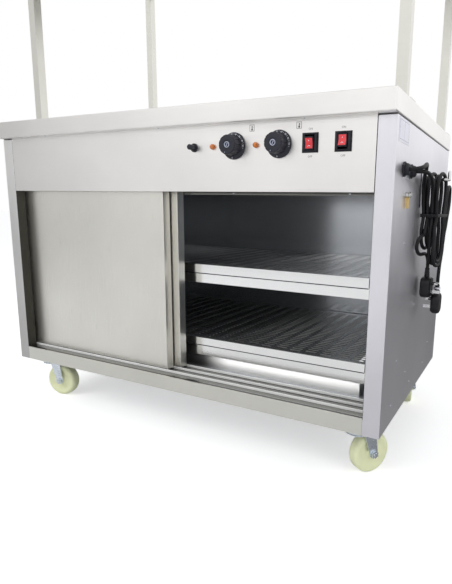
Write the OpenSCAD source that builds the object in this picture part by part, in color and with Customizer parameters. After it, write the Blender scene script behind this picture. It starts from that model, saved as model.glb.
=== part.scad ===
// Mobile serving counter: a heated cupboard with two sliding doors, a control
// fascia, two removable shelves, a gantry over the worktop and four castors.
// Millimetres, +Z up, the front faces -Y and the floor is at Z = 0.

/* [Cabinet] */
// Width over the two side panels
body_w = 1196; // [1000:1:1500]
// Depth from the corner posts to the back panel
body_d = 678; // [560:1:760]
// Height of the side panels
panel_h = 682; // [600:1:760]
// Clear height under the side panels
ground_gap = 133; // [125:1:170]
// Thickness of the sheet steel
sheet_t = 1.5; // [1:0.1:2]
// Width of the folded corner post at the front
post_face = 40; // [30:1:60]
// Depth of the fold behind the corner post
post_return = 28; // [12:1:28]
// Width of the flanges that stiffen the panels
flange_w = 15; // [10:1:25]

/* [Worktop] */
// Height of the worktop's apron
top_h = 45; // [30:1:60]
// Overhang of the worktop at the front
top_front = 22; // [10:1:40]
// Overhang of the worktop at each side
top_side = 2; // [1:0.5:10]

/* [Fascia and rail] */
// Height of the control fascia
fascia_h = 151; // [130:1:180]
// Height of the front rail under the doorway
rail_h = 40; // [36:1:60]
// Gap between the fascia and the corner posts
fascia_gap = 0.5; // [0.3:0.1:1.5]

/* [Doors] */
// Width of each door
door_w = 579; // [480:1:640]
// Thickness of each door
door_t = 27; // [18:1:27]
// Distance from the posts' front to the front door
door_front = 33; // [31:0.5:40]
// Gap between the two doors
door_gap = 4; // [3.4:0.1:8]
// Height of the guide ribs on the tracks
rib_h = 7; // [5:0.5:12]
// Thickness of the guide ribs
rib_t = 2; // [1:0.1:2.4]
// Height of the nylon glides under the doors
glide_h = 4; // [3:0.5:6]
// How far the front door's edge stands from the left side panel
front_door_stop = 0.5; // [0.3:0.1:2]
// How far the rear door is pushed right of the front door
rear_door_offset = 22; // [0:1:60]

/* [Shelves] */
// Height of the upper shelf above the floor
upper_shelf_z = 470; // [420:1:520]
// Height of the lower shelf above the floor
lower_shelf_z = 259; // [250:1:290]
// Gap from a shelf's end to the liner
shelf_in = 43.5; // [20:0.5:120]
// Place of the joint between the two shelf halves, from the middle
shelf_joint = -45; // [-200:1:200]
// Front of the shelves, from the posts
shelf_front = 115; // [105:1:160]
// Height of the upper shelf's front edge
upper_edge_h = 24; // [15:1:40]
// Height of the lower shelf's front edge
lower_edge_h = 21; // [15:1:22]
// Depth of the frame under the upper shelf
upper_frame_h = 49.5; // [30:0.5:60]
// Depth of the frame under the lower shelf
lower_frame_h = 49.5; // [30:0.5:60]
// Length of a slot in the shelves
slot_l = 30; // [20:1:40]
// Width of a slot in the shelves
slot_w = 8; // [4:1:12]
// Number of slots along each shelf
slot_columns = 24; // [12:1:24]
// Number of slots across each shelf
slot_rows = 12; // [4:1:14]

/* [Heating] */
// Gap from the heater cover's end to the liner
heater_in = 57.5; // [30:0.5:150]
// Height of the cover over the floor heaters
heater_h = 60; // [40:1:70]
// Front of the heater cover, from the posts
heater_front = 127; // [120:1:170]

/* [Controls] */
// Drop from the worktop to the row of controls
control_drop = 49; // [35:1:70]
// Diameter of the dial skirt
skirt_d = 60; // [50:1:62]
// Diameter of the dial cap
cap_d = 44; // [34:1:46]
// Reach of the dials in front of the fascia
dial_reach = 32; // [18:1:40]
// Diameter of the dial spindle
spindle_d = 6; // [5:0.5:8]
// Width of a rocker switch boot
boot_w = 37; // [32:1:42]
// Height of a rocker switch boot
boot_h = 41; // [36:1:48]
// Reach of a rocker switch boot
boot_reach = 6; // [4:0.5:10]
// Diameter of the indicator lamps
lamp_d = 13; // [9:0.5:16]
// Diameter of the reset button's housing
reset_d = 20; // [16:1:26]

/* [Castors] */
// Diameter of a wheel
wheel_d = 102; // [90:1:108]
// Width of a wheel
wheel_w = 32; // [25:1:36]
// Trail from the swivel axis to the wheel's axle
trail = 35; // [28:1:42]
// Diameter of the axle bolts
axle_d = 10; // [8:0.5:14]
// Swivel axes in from the sides
castor_in = 70; // [68:1:110]
// Swivel axes in from the front and the back
castor_y = 67; // [60:1:120]
// Length of a castor plate
plate_l = 100; // [90:1:106]
// Thickness of a castor plate
plate_t = 4; // [3:0.5:6]

/* [Cord hook and cords] */
// Diameter of the mains cords
cord_d = 9; // [7:0.5:9]
// Hook's distance from the front
hook_y = 308; // [300:1:316]
// Length of the hook's arm
hook_l = 60; // [60:1:90]
// Diameter of the hook's rod
hook_d = 8; // [6:0.5:8]

/* [Gantry] */
// Height of the gantry posts above the worktop
gantry_h = 570; // [400:1:700]
// Width of the square gantry posts
tube_w = 25; // [20:1:30]
// Thickness of the gantry shelf
gantry_shelf_t = 25; // [15:1:40]

/* [Hidden] */
$fn = 48;
eps = 0.01;

// Heights from the floor up
z_edge = ground_gap;
z_panel = z_edge + panel_h;
z_work = z_panel + top_h;
z_fascia = z_panel - fascia_h;
z_mount = z_edge + plate_t;
z_floor = z_edge + rail_h - 2;
z_slide = z_floor + sheet_t;
glide_gap = 0.2;
z_door = z_slide + glide_gap + glide_h;
lift_gap = 6;
z_ceiling = z_fascia + 26;
z_door_top = z_ceiling - lift_gap;
door_h = z_door_top - z_door;
// Widths and depths
half_w = body_w / 2;
inside_w = half_w - sheet_t;
post_x = half_w - post_face;
liner_gap = 29;
liner_x = inside_w - liner_gap;
rear_clear = 19;
liner_y = body_d - sheet_t - rear_clear;
back_y = body_d - sheet_t;
skin = 1.2;
// Door lanes
rib_gap = 1.5;
rear_front = door_front + door_t + door_gap;
lane_end = rear_front + door_t;
rib_1 = door_front - rib_gap - rib_t;
rib_2 = rear_front - (door_gap + rib_t) / 2;
rib_3 = lane_end + rib_gap;
track_end = rib_3 + rib_t;
front_door_x = -inside_w + front_door_stop;
rear_door_x = front_door_x + rear_door_offset;
// Shelf frames
runner_in = 4;
runner_w = 20;
shelf_w = 2 * (liner_x - shelf_in);
shelf_x = shelf_w / 2;
frame_y0 = shelf_front + sheet_t;
frame_y1 = liner_y - 8;
tray_y1 = frame_y1;
// Controls, set out from the right corner post
control_z = z_panel - control_drop;
control_step = 58;
rocker_2_x = post_x - 70;
rocker_1_x = rocker_2_x - 74;
dial_2_x = rocker_1_x - 74;
lamp_2_x = dial_2_x - control_step;
dial_1_x = lamp_2_x - control_step;
lamp_1_x = dial_1_x - control_step;
reset_x = lamp_1_x - control_step + 4;
dial_gap = 0.5;
spindle_play = 0.05;
spindle_l = 26;
skirt_t = 5;
thermostat_w = 40;
rocker_w = 20;
rocker_h = 27;
rocker_play = 0.6;
rocker_swing = 2.2;
rocker_tilt = 9;
rocker_pivot = 3;
rocker_proud = 3.5;
reset_cap_d = 13;
reset_play = 0.3;
reset_travel = 2.5;
// Castors
wheel_r = wheel_d / 2;
crown_t = 4;
crown_z = wheel_d + 6;
cup_d = 64;
cup_gap = 0.4;
kingpin_d = 12;
pin_play = 0.05;
leg_gap = 2.5;
leg_t = 3;
leg_in = wheel_w / 2 + leg_gap;
leg_out = leg_in + leg_t;
boss_r = 12;
castor_x = half_w - castor_in + 2;
rear_castor_y = body_d - castor_y + 2;
castor_turn = [12, 55, 310, 282];
castor_spot = [
  [-castor_x, castor_y], [castor_x, castor_y],
  [-castor_x, rear_castor_y], [castor_x, rear_castor_y]
];
side_beam = castor_in + plate_l / 2 - 10;
end_beam = 40;
beam_h = z_floor - sheet_t - z_mount;
// Gantry
gantry_x = half_w - tube_w;
gantry_y0 = 121;
gantry_y1 = body_d - 38;
foot_w = 50;
foot_t = 3;
z_gantry = z_work + gantry_h;
// Glands and hook on the right side panel
gland_y = [72, 139];
gland_z = z_panel - 101;
gland_reach = 13;
stud_y = 105;
stud_z = z_panel - 153;
gland_af = 27;
gland_hole = 20.5;
cord_r = cord_d / 2;
hook_r = hook_d / 2;
// Hanks: two layers a cord, turned a little from the panel
hank_yaw = 8;
hank_fold = 27;
hank_step = 11;
hank_layer = 10;
hank_x = [13, 34.5];
hank_top = z_panel - 129;
hank_low = [hank_top - 119, hank_top - 157];
hank_rings = 24;
hank_sides = 6;
waist_z = hank_top - 69;
waist_in = 8;
waist_half = 36;
tie_slack = 2.6;
hank_start = hank_top - 30;
hank_end_1 = hank_top - 99;
hank_end_2 = hank_top - 46;
hook_z = hank_top + hank_fold + hank_step * 0.125 - cord_r - hook_r - 0.3;
// Where the box of everything but the cords has its middle
reach_x = half_w + hook_l + hook_r;
origin_x = (reach_x - half_w - top_side) / 2;
origin_y = (body_d - dial_reach - dial_gap) / 2;

// Points of the loose cords: out from the side panel, back from the
// posts and up from the panel's top
lead_1_route = [
  [13, 72, -101], [23, 72, -101], [33, 78, -99], [38, 93, -95], [38, 112, -90],
  [36, 131, -87], [33, 150, -87], [29, 169, -90], [25, 188, -95],
  [20, 206, -101], [16, 224, -109], [12, 241, -119], [9, 256, -132]
];
lead_2_route = [
  [13, 139, -101], [23, 139, -101], [33, 145, -102], [38, 159, -105],
  [39, 178, -109], [38, 197, -113], [36, 216, -118], [34, 235, -124],
  [31, 252, -133]
];
tail_1_route = [
  [16.5, 262, -244.5], [13.5, 249, -249], [10, 236, -255.5], [8, 229, -267],
  [8, 230, -280], [10, 241, -290], [13, 256, -294],
  [16, 273, -294], [19, 290, -295], [21, 305, -302], [22, 314, -315],
  [22, 316, -324], [22, 316, -333]
];
tail_2_route = [
  [51, 352, -146], [51, 363, -132], [51, 379, -124], [51, 397, -127],
  [50, 409, -140], [50, 412, -158], [50, 407, -176], [50, 397, -193],
  [50, 386, -210], [50, 376, -228], [49, 368, -246], [49, 362, -265],
  [48, 358, -285], [48, 354, -305], [47, 349, -325], [47, 344, -344],
  [47, 341, -360], [47, 341, -369], [47, 341, -378]
];
// Plugs: middle out from the panel, back from the posts and the cord's end
plug_1_at = [22, 316, -333];
plug_2_at = [47, 341, -378];
plug_w = 52;
plug_h = 54;
plug_t = [26, 21];
neck_l = 24;
pin_drop = 16;

// ---------- shared shapes ----------

module place() {
  translate([-origin_x, -origin_y, 0]) children();
}

// A box between two corners
module slab(low, high) {
  translate(low) cube(high - low);
}

// A cylinder along +Y from a point on the fascia
module rod_y(x, y, z, d, l) {
  translate([x, y, z]) rotate([-90, 0, 0]) cylinder(d = d, h = l);
}

// A cylinder along +X
module rod_x(x, y, z, d, l) {
  translate([x, y, z]) rotate([0, 90, 0]) cylinder(d = d, h = l);
}

// A closed sheet-metal box with a sealed inside
module hollow_slab(low, high, wall) {
  difference() {
    slab(low, high);
    slab(low + [wall, wall, wall], high - [wall, wall, wall]);
  }
}

// A pan head screw with its head along -Z under a face
module head_down(x, y, z, d = 7, h = 1.6) {
  translate([x, y, z - h]) cylinder(d1 = d * 0.8, d2 = d, h = h);
}

// A pan head screw with its head along +Z on a face
module head_up(x, y, z, d = 7, h = 1.6) {
  translate([x, y, z]) cylinder(d1 = d, d2 = d * 0.8, h = h);
}

// A rivet head along -Y
module head_front(x, y, z, d = 5, h = 1) {
  translate([x, y, z]) rotate([90, 0, 0]) cylinder(d1 = d, d2 = d * 0.8, h = h);
}

// A rivet head along +X
module head_side(x, y, z, d = 5, h = 1) {
  translate([x, y, z]) rotate([0, 90, 0]) cylinder(d1 = d, d2 = d * 0.8, h = h);
}

// ---------- swept tubes ----------

function unit(v) = v / norm(v);
function square_to(v, t) = unit(v - (v * t) * t);
function pick(p, i) = p[max(0, min(len(p) - 1, i))];
function tangents(p) = [for (i = [0:len(p) - 1]) unit(pick(p, i + 1) - pick(p, i - 1))];
function sides_of(t, first) = [
  for (i = 0, n = square_to(first, t[0]); i < len(t);
    i = i + 1, n = i < len(t) ? square_to(n, t[i]) : n) n
];
function ring(c, t, n, r, sides) = [
  for (k = [0:sides - 1]) let (a = 360 * k / sides) c + r * (cos(a) * n + sin(a) * cross(t, n))
];
function length_of(p, i = 1, sum = 0) =
  i >= len(p) ? sum : length_of(p, i + 1, sum + norm(p[i] - p[i - 1]));

// A tube of round section along a list of points
module tube(p, r, sides, first = [0, 0.3, 1]) {
  t = tangents(p);
  n = sides_of(t, first);
  last = len(p) - 1;
  points = [for (i = [0:last]) each ring(p[i], t[i], n[i], r, sides)];
  walls = [
    for (i = [0:last - 1], k = [0:sides - 1])
      let (a = i * sides + k, b = i * sides + (k + 1) % sides)
      each [[a, b + sides, b], [a, a + sides, b + sides]]
  ];
  caps = [
    for (k = [1:sides - 2]) each [[0, k, k + 1], [last * sides, last * sides + k + 1, last * sides + k]]
  ];
  polyhedron(points = points, faces = concat(walls, caps));
}

// A point of a loose cord, from the right side panel's top
function from_panel(p) = [half_w + p[0], p[1], z_panel + p[2]];

// ---------- hanks ----------

// How far the waist draws a run in at a height
function drawn_in(z) =
  abs(z - waist_z) >= waist_half ? 0 : waist_in / 2 * (1 + cos(180 * (z - waist_z) / waist_half));
// Radius of the loop after u turns: in over the first, out after the climb
function fold(u) = u < 1 ? hank_fold + hank_step * (1 - u) : hank_fold + hank_step * max(0, u - 1.25);
// Share of the climb to the second layer, along the left run
function climb(u) = u < 1 ? 0 : u > 1.25 ? 1 : (1 - cos(180 * (u - 1) / 0.25)) / 2;
// Centre of the cord after u turns: down the left, up the right
function hank_flat(u, low) =
  let (q = u - floor(u), r = fold(u), run = hank_top - low)
  q < 0.25 ? let (z = hank_top - run * q / 0.25) [-r + drawn_in(z), z] :
  q < 0.5 ? let (a = 180 * (q - 0.25) / 0.25) [-r * cos(a), low - r * sin(a)] :
  q < 0.75 ? let (z = low + run * (q - 0.5) / 0.25) [r - drawn_in(z), z] :
  let (a = 180 * (q - 0.75) / 0.25) [r * cos(a), hank_top + r * sin(a)];
function hank_point(u, cord) =
  let (f = hank_flat(u, hank_low[cord]), x = hank_x[cord] + hank_layer * climb(u))
  [half_w + x + f[0] * sin(hank_yaw), hook_y + f[0] * cos(hank_yaw), f[1]];
function left_turn(z, cord) = 0.25 * (hank_top - z) / (hank_top - hank_low[cord]);
function right_turn(z, cord) = 0.5 + 0.25 * (z - hank_low[cord]) / (hank_top - hank_low[cord]);
hank_from = [left_turn(hank_start, 0), left_turn(hank_start, 1)];
hank_to = [2 + left_turn(hank_end_1, 0), 2 + right_turn(hank_end_2, 1)];
function hank_line(cord) =
  let (
    first = floor(hank_from[cord] * hank_rings) + 1,
    last = ceil(hank_to[cord] * hank_rings) - 1,
    turns = [hank_from[cord], for (i = [first:last]) i / hank_rings, hank_to[cord]]
  ) [for (u = turns) hank_point(u, cord)];
hank_line_1 = hank_line(0);
hank_line_2 = hank_line(1);

// Distance from a point to a piece of line
function to_piece(p, a, b) =
  let (d = b - a, s = max(0, min(1, (p - a) * d / (d * d)))) norm(p - a - s * d);
// Least gap of a tube to itself, past its own bend
function self_gap(p, d, skip) = min([
  for (i = [0:len(p) - 1], j = [0:len(p) - 2])
    if (abs(i - j) > skip && abs(i - j - 1) > skip) to_piece(p[i], p[j], p[j + 1])
]) - d;
hank_skip = 8;
echo(hank_1_gap = self_gap(hank_line_1, cord_d, hank_skip));
echo(hank_2_gap = self_gap(hank_line_2, cord_d, hank_skip));

// A loose cord is led on from, or into, the end of its hank
function back_from(p, q, l) = p + l * unit(p - q);
hank_1_in = hank_line_1[0];
hank_2_in = hank_line_2[0];
hank_1_out = hank_line_1[len(hank_line_1) - 1];
hank_2_out = hank_line_2[len(hank_line_2) - 1];
lead_1_line = concat(
  [for (p = lead_1_route) from_panel(p)],
  [back_from(hank_1_in, hank_line_1[1], cord_d), hank_1_in]
);
lead_2_line = concat(
  [for (p = lead_2_route) from_panel(p)],
  [back_from(hank_2_in, hank_line_2[1], cord_d), hank_2_in]
);
tail_1_line = concat(
  [hank_1_out, back_from(hank_1_out, hank_line_1[len(hank_line_1) - 2], cord_d)],
  [for (p = tail_1_route) from_panel(p)]
);
tail_2_line = concat(
  [hank_2_out, back_from(hank_2_out, hank_line_2[len(hank_line_2) - 2], cord_d)],
  [for (p = tail_2_route) from_panel(p)]
);
echo(cord_1_length = length_of(lead_1_line) + length_of(hank_line_1) + length_of(tail_1_line));
echo(cord_2_length = length_of(lead_2_line) + length_of(hank_line_2) + length_of(tail_2_line));

module cord_1_lead() {
  color("black") tube(lead_1_line, cord_r, 8);
}

module cord_1_hank() {
  color("black") tube(hank_line_1, cord_r, hank_sides, [1, 0, 0]);
}

module cord_1_tail() {
  color("black") tube(tail_1_line, cord_r, 8, [1, 0, 0]);
}

module cord_2_lead() {
  color("black") tube(lead_2_line, cord_r, 8);
}

module cord_2_hank() {
  color("black") tube(hank_line_2, cord_r, hank_sides, [1, 0, 0]);
}

module cord_2_tail() {
  color("black") tube(tail_2_line, cord_r, 8, [1, 0, 0]);
}

// ---------- worktop and cabinet ----------

module worktop() {
  color("lightgray") hollow_slab(
    [-half_w - top_side, -top_front, z_panel],
    [half_w + top_side, body_d, z_work], sheet_t
  );
}

// A fascia with a bottom return and an upstand that carries the top track
module fascia() {
  x = post_x - fascia_gap;
  color("gainsboro") difference() {
    union() {
      slab([-x, 0, z_fascia], [x, sheet_t, z_panel]);
      slab([-x, 0, z_fascia], [x, post_return, z_fascia + sheet_t]);
      slab([-x, post_return - sheet_t, z_fascia], [x, post_return, z_ceiling]);
      slab([-x, 0, z_panel - sheet_t], [x, flange_w, z_panel]);
    }
    for (x0 = [dial_1_x, dial_2_x])
      rod_y(x0, -1, control_z, spindle_d + 4, sheet_t + 2);
    for (x0 = [lamp_1_x, lamp_2_x])
      rod_y(x0, -1, control_z, lamp_d - 3, sheet_t + 2);
    rod_y(reset_x, -1, control_z, reset_d - 4, sheet_t + 2);
    for (x0 = [rocker_1_x, rocker_2_x])
      slab([x0 - boot_w / 2 + 3, -1, control_z - boot_h / 2 + 3],
        [x0 + boot_w / 2 - 3, sheet_t + 1, control_z + boot_h / 2 - 3]);
  }
}

// The left side panel with its folded corner post; the right one is mirrored
module panel_shape() {
  slab([-half_w, 0, z_edge], [-inside_w, body_d, z_panel]);
  slab([-half_w, 0, z_edge], [-post_x, sheet_t, z_panel]);
  slab([-post_x - sheet_t, 0, z_floor], [-post_x, post_return, z_panel]);
  slab([-half_w, 0, z_panel - sheet_t],
    [-half_w + flange_w + sheet_t, back_y - flange_w - 1, z_panel]);
}

module side_panel_left() {
  color("silver") panel_shape();
}

module side_panel_right() {
  color("silver") difference() {
    mirror([1, 0, 0]) panel_shape();
    for (y = gland_y)
      rod_x(inside_w - 1, y, gland_z, gland_hole, sheet_t + 2);
    rod_x(inside_w - 1, stud_y, stud_z, 6.4, sheet_t + 2);
  }
}

module back_panel() {
  color("silver") {
    slab([-inside_w, back_y, z_edge], [inside_w, body_d, z_panel]);
    slab([-inside_w, back_y - flange_w, z_panel - sheet_t], [inside_w, back_y + eps, z_panel]);
  }
}

// Welded rectangular tubes under the floor, drawn once solid and once smaller
module ladder(inset) {
  x = inside_w - inset;
  y0 = sheet_t + inset;
  y1 = back_y - inset;
  hole_x = inside_w - side_beam + inset;
  hole_y0 = sheet_t + end_beam - inset;
  hole_y1 = back_y - end_beam + inset;
  translate([0, 0, z_mount + inset]) linear_extrude(beam_h - 2 * inset) difference() {
    translate([-x, y0]) square([2 * x, y1 - y0]);
    translate([-hole_x, hole_y0]) square([2 * hole_x, hole_y1 - hole_y0]);
  }
}

module base_frame() {
  color("dimgray") difference() {
    ladder(0);
    ladder(2);
  }
}

module front_rail() {
  x = post_x - fascia_gap;
  color("gainsboro") {
    slab([-x, 0, z_edge], [x, sheet_t, z_edge + rail_h]);
    slab([-x, 0, z_floor + 0.5], [x, 3, z_edge + rail_h]);
    slab([-x, 0, z_edge], [x, flange_w, z_edge + sheet_t]);
  }
}

module bottom_track() {
  color("silver") {
    slab([-post_x + fascia_gap, 6, z_floor], [post_x - fascia_gap, rib_1, z_slide]);
    slab([-inside_w, rib_1 - eps, z_floor], [inside_w, track_end, z_slide]);
    for (y = [rib_1, rib_2, rib_3])
      slab([-inside_w, y, z_slide - eps], [inside_w, y + rib_t, z_slide + rib_h]);
  }
}

module top_track() {
  drop = lift_gap + rib_h - 1;
  color("silver") {
    slab([-inside_w, rib_1, z_ceiling], [inside_w, track_end, z_ceiling + sheet_t]);
    for (y = [rib_1, rib_2, rib_3])
      slab([-inside_w, y, z_ceiling - drop], [inside_w, y + rib_t, z_ceiling + eps]);
    slab([-post_x + fascia_gap, post_return, z_ceiling - drop],
      [post_x - fascia_gap, rib_1 + eps, z_ceiling + sheet_t]);
    slab([-inside_w, track_end - sheet_t, z_fascia - 5], [inside_w, track_end, z_ceiling + eps]);
  }
}

module floor_pan() {
  color("silver") slab([-inside_w, sheet_t, z_floor - sheet_t], [inside_w, back_y, z_floor]);
}

// ---------- liner and shelves ----------

module liner_back() {
  color("gray") slab([-liner_x, liner_y, z_floor], [liner_x, liner_y + sheet_t, z_ceiling]);
}

module liner_sides() {
  y0 = track_end + 1;
  color("gray") for (s = [0, 1]) mirror([s, 0, 0]) {
    slab([liner_x, y0, z_floor], [liner_x + sheet_t, liner_y + sheet_t, z_ceiling]);
    slab([liner_x, y0, z_floor], [inside_w, y0 + sheet_t, z_ceiling]);
  }
}

module liner_ceiling() {
  color("gray") slab([-inside_w, track_end, z_ceiling], [inside_w, back_y, z_ceiling + sheet_t]);
}

// Two long bands to the walls and two runners that the tray's ends lie on
module shelf_frame(z, h) {
  x1 = shelf_x - runner_in + sheet_t;
  top = z - sheet_t;
  slab([-liner_x, frame_y0, top - h], [liner_x, frame_y0 + sheet_t, top]);
  slab([-liner_x, frame_y0, top - sheet_t], [liner_x, frame_y0 + runner_w, top]);
  slab([-liner_x, frame_y1 - sheet_t, top - h], [liner_x, frame_y1, top]);
  slab([-liner_x, frame_y1 - runner_w, top - sheet_t], [liner_x, frame_y1, top]);
  for (s = [0, 1]) mirror([s, 0, 0]) {
    slab([x1 - runner_w, frame_y0, top - sheet_t], [x1, frame_y1, top]);
    slab([x1 - sheet_t, frame_y0, top - h * 0.6], [x1, frame_y1, top]);
  }
}

module upper_shelf_frame() {
  color("silver") shelf_frame(upper_shelf_z, upper_frame_h);
}

module lower_shelf_frame() {
  color("silver") shelf_frame(lower_shelf_z, lower_frame_h);
}

// One half of a perforated tray with a folded front edge
module half_tray(x0, x1, z, edge) {
  margin = 20;
  step_x = shelf_w / slot_columns;
  step_y = (tray_y1 - shelf_front - 2 * margin) / slot_rows;
  translate([0, 0, z - sheet_t]) linear_extrude(sheet_t) difference() {
    translate([x0, shelf_front]) square([x1 - x0, tray_y1 - shelf_front]);
    for (i = [0:slot_columns - 1], j = [0:slot_rows - 1])
      let (x = -shelf_x + step_x * (i + 0.5), y = shelf_front + margin + step_y * (j + 0.25 + 0.5 * (i % 2)))
        if (x - slot_l / 2 > x0 + 4 && x + slot_l / 2 < x1 - 4)
          translate([x - slot_l / 2, y - slot_w / 2]) square([slot_l, slot_w]);
  }
  slab([x0, shelf_front, z - edge], [x1, shelf_front + sheet_t, z - eps]);
}

module tray(z, edge) {
  seam = 0.4;
  half_tray(-shelf_x, shelf_joint - seam / 2, z, edge);
  half_tray(shelf_joint + seam / 2, shelf_x, z, edge);
}

module upper_shelf() {
  color("whitesmoke") tray(upper_shelf_z, upper_edge_h);
}

module lower_shelf() {
  color("whitesmoke") tray(lower_shelf_z, lower_edge_h);
}

// ---------- heating ----------

heater_w = 2 * (liner_x - heater_in);
heater_y1 = liner_y - 20;

module heater_cover() {
  x = heater_w / 2;
  color("silver") difference() {
    slab([-x, heater_front, z_floor], [x, heater_y1, z_floor + heater_h]);
    slab([-x + sheet_t, heater_front + sheet_t, z_floor - 1],
      [x - sheet_t, heater_y1 - sheet_t, z_floor + heater_h - sheet_t]);
  }
}

// Two hairpin elements, each on three brackets that stand on the floor pan
module heating_elements() {
  rod_d = 8;
  bend = 40;
  l = heater_w - 200;
  z = z_floor + 22;
  color("dimgray") for (y = [heater_front + 130, heater_front + 370]) {
    for (s = [-1, 1])
      rod_x(-l / 2, y + s * bend, z, rod_d, l);
    translate([l / 2, y, z]) rotate([0, 0, -90]) rotate_extrude(angle = 180)
      translate([bend, 0]) circle(d = rod_d);
    for (x = [-l / 2 + 20, 0, l / 2 - 20])
      slab([x - 1, y - bend - 12, z_floor], [x + 1, y + bend + 12, z + 9]);
  }
}

module top_heater() {
  color("dimgray") slab([-half_w + 110, 130, z_panel - 6], [half_w - 110, body_d - 110, z_panel]);
}

// ---------- controls ----------

module thermostats() {
  w = thermostat_w;
  color("ivory") for (x = [dial_1_x, dial_2_x]) difference() {
    slab([x - w / 2, sheet_t, control_z - w / 2], [x + w / 2, sheet_t + 30, control_z + w / 2]);
    rod_y(x, sheet_t - 1, control_z, spindle_d + 2 * spindle_play, spindle_l + 2);
  }
}

// A dial: skirt, grooved cap and the spindle behind it
module dial(x) {
  cap_l = dial_reach - skirt_t;
  difference() {
    union() {
      rod_y(x, -dial_gap - skirt_t, control_z, skirt_d, skirt_t);
      rod_y(x, -dial_gap - dial_reach + 2, control_z, cap_d, cap_l - 2 + eps);
      translate([x, -dial_gap - dial_reach, control_z]) rotate([-90, 0, 0])
        cylinder(d1 = cap_d - 2, d2 = cap_d, h = 2 + eps);
      rod_y(x, -dial_gap - eps, control_z, spindle_d, spindle_l);
    }
    for (a = [0:30:330])
      translate([x, 0, control_z]) rotate([0, a + 15, 0]) translate([cap_d / 2 + 0.8, 0, 0])
        rod_y(0, -dial_gap - dial_reach - 1, 0, 4, cap_l - 1);
    rod_y(x, -dial_gap - dial_reach - 1, control_z, cap_d * 0.55, 1.6);
  }
}

module knob_1() {
  color("#23242e") dial(dial_1_x);
}

module knob_2() {
  color("#23242e") dial(dial_2_x);
}

// Boots with an opening for the rocker and a body behind the fascia
module rocker_frames() {
  w = rocker_w / 2 + rocker_play;
  h = rocker_h / 2 + rocker_swing;
  color("#1c1d24") for (x = [rocker_1_x, rocker_2_x]) difference() {
    union() {
      slab([x - boot_w / 2, -2, control_z - boot_h / 2], [x + boot_w / 2, 0, control_z + boot_h / 2]);
      slab([x - boot_w / 2 + 2, -boot_reach, control_z - boot_h / 2 + 2],
        [x + boot_w / 2 - 2, 0, control_z + boot_h / 2 - 2]);
      slab([x - boot_w / 2 + 3.2, -eps, control_z - boot_h / 2 + 3.2],
        [x + boot_w / 2 - 3.2, 22, control_z + boot_h / 2 - 3.2]);
    }
    slab([x - w, -boot_reach - 1, control_z - h], [x + w, 14, control_z + h]);
    rod_x(x - w - 3, rocker_pivot, control_z, 3.1, 2 * w + 6);
  }
}

// A rocker with two faces that meet in a flat valley, on its own pivot pin
module rocker(x, tilt) {
  y0 = -boot_reach - rocker_proud - rocker_pivot;
  translate([x, rocker_pivot, control_z]) rotate([tilt, 0, 0]) {
    translate([-rocker_w / 2, 0, 0]) rotate([90, 0, 90]) linear_extrude(rocker_w)
      polygon([
        [y0, rocker_h / 2 - 1], [y0 + 2.4, 0], [y0, 1 - rocker_h / 2], [y0 + 1.5, -rocker_h / 2],
        [-3, -rocker_h / 2 + 1], [5, -6], [5, 6], [-3, rocker_h / 2 - 1], [y0 + 1.5, rocker_h / 2]
      ]);
    translate([-rocker_w / 2 - 3, 0, 0]) rotate([0, 90, 0]) cylinder(d = 3, h = rocker_w + 6);
  }
}

module rocker_1() {
  color("#e0343e") rocker(rocker_1_x, rocker_tilt);
}

module rocker_2() {
  color("#e0343e") rocker(rocker_2_x, -rocker_tilt);
}

module indicators() {
  color("#c8722e") for (x = [lamp_1_x, lamp_2_x]) {
    rod_y(x, -2, control_z, lamp_d, 2);
    rod_y(x, -eps - 1, control_z, lamp_d - 3.4, 20);
    rod_y(x, -3.2, control_z, lamp_d - 0.5, 2);
    intersection() {
      translate([x, -3.2, control_z]) sphere(d = lamp_d - 0.5);
      slab([x - lamp_d, -lamp_d, control_z - lamp_d], [x + lamp_d, -1, control_z + lamp_d]);
    }
  }
}

module reset_housing() {
  color("#1c1d24") difference() {
    union() {
      rod_y(reset_x, -4, control_z, reset_d, 4);
      rod_y(reset_x, -eps, control_z, reset_d - 4.4, 24);
    }
    rod_y(reset_x, -5, control_z, reset_cap_d + 2 * reset_play, 15);
  }
}

module reset_button() {
  d = reset_cap_d;
  color("#2a2b33") difference() {
    rod_y(reset_x, -22, control_z, d, 22 + 10 - reset_travel - 1);
    for (a = [0:30:330])
      translate([reset_x, 0, control_z]) rotate([0, a, 0]) translate([d / 2 + 0.4, 0, 0])
        rod_y(0, -23, 0, 1.6, 18);
  }
}

// ---------- the right side panel's fittings ----------

module cable_glands() {
  color("#14161a") for (y = gland_y) {
    translate([half_w, y, gland_z]) rotate([0, 90, 0]) {
      rotate([0, 0, 15]) cylinder(d = gland_af / cos(30), h = 7, $fn = 6);
      cylinder(d1 = 23, d2 = 20, h = gland_reach);
      translate([0, 0, -sheet_t - 12]) cylinder(d = gland_hole - 0.4, h = sheet_t + 12 + eps);
    }
    translate([inside_w - 5, y, gland_z]) rotate([0, 90, 0])
      cylinder(d = gland_af / cos(30), h = 5, $fn = 6);
  }
}

module plug(at, thick, face) {
  w = plug_w / 2;
  body_z = z_panel + at[2] - neck_l;
  pin = 22.7;
  color("#141519") translate([half_w + at[0], at[1], 0]) {
    translate([0, 0, body_z - eps]) cylinder(d1 = 15, d2 = 12, h = neck_l + eps);
    translate([-thick / 2, 0, body_z]) rotate([90, 0, 90]) linear_extrude(thick) hull() {
      for (s = [-1, 1]) {
        translate([s * (w - 12), -12]) circle(r = 12, $fn = 32);
        translate([s * (w - 16), -plug_h + 14]) circle(r = 14, $fn = 32);
      }
    }
    for (s = [-1, 1])
      translate([face * (thick / 2 + 17.7 / 2 - eps), s * 11, body_z - pin_drop])
        cube([17.7, 6.3, 4], center = true);
    translate([face * (thick / 2 + pin / 2 - eps), 0, body_z - pin_drop - 22.2])
      cube([pin, 4, 8], center = true);
  }
}

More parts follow.
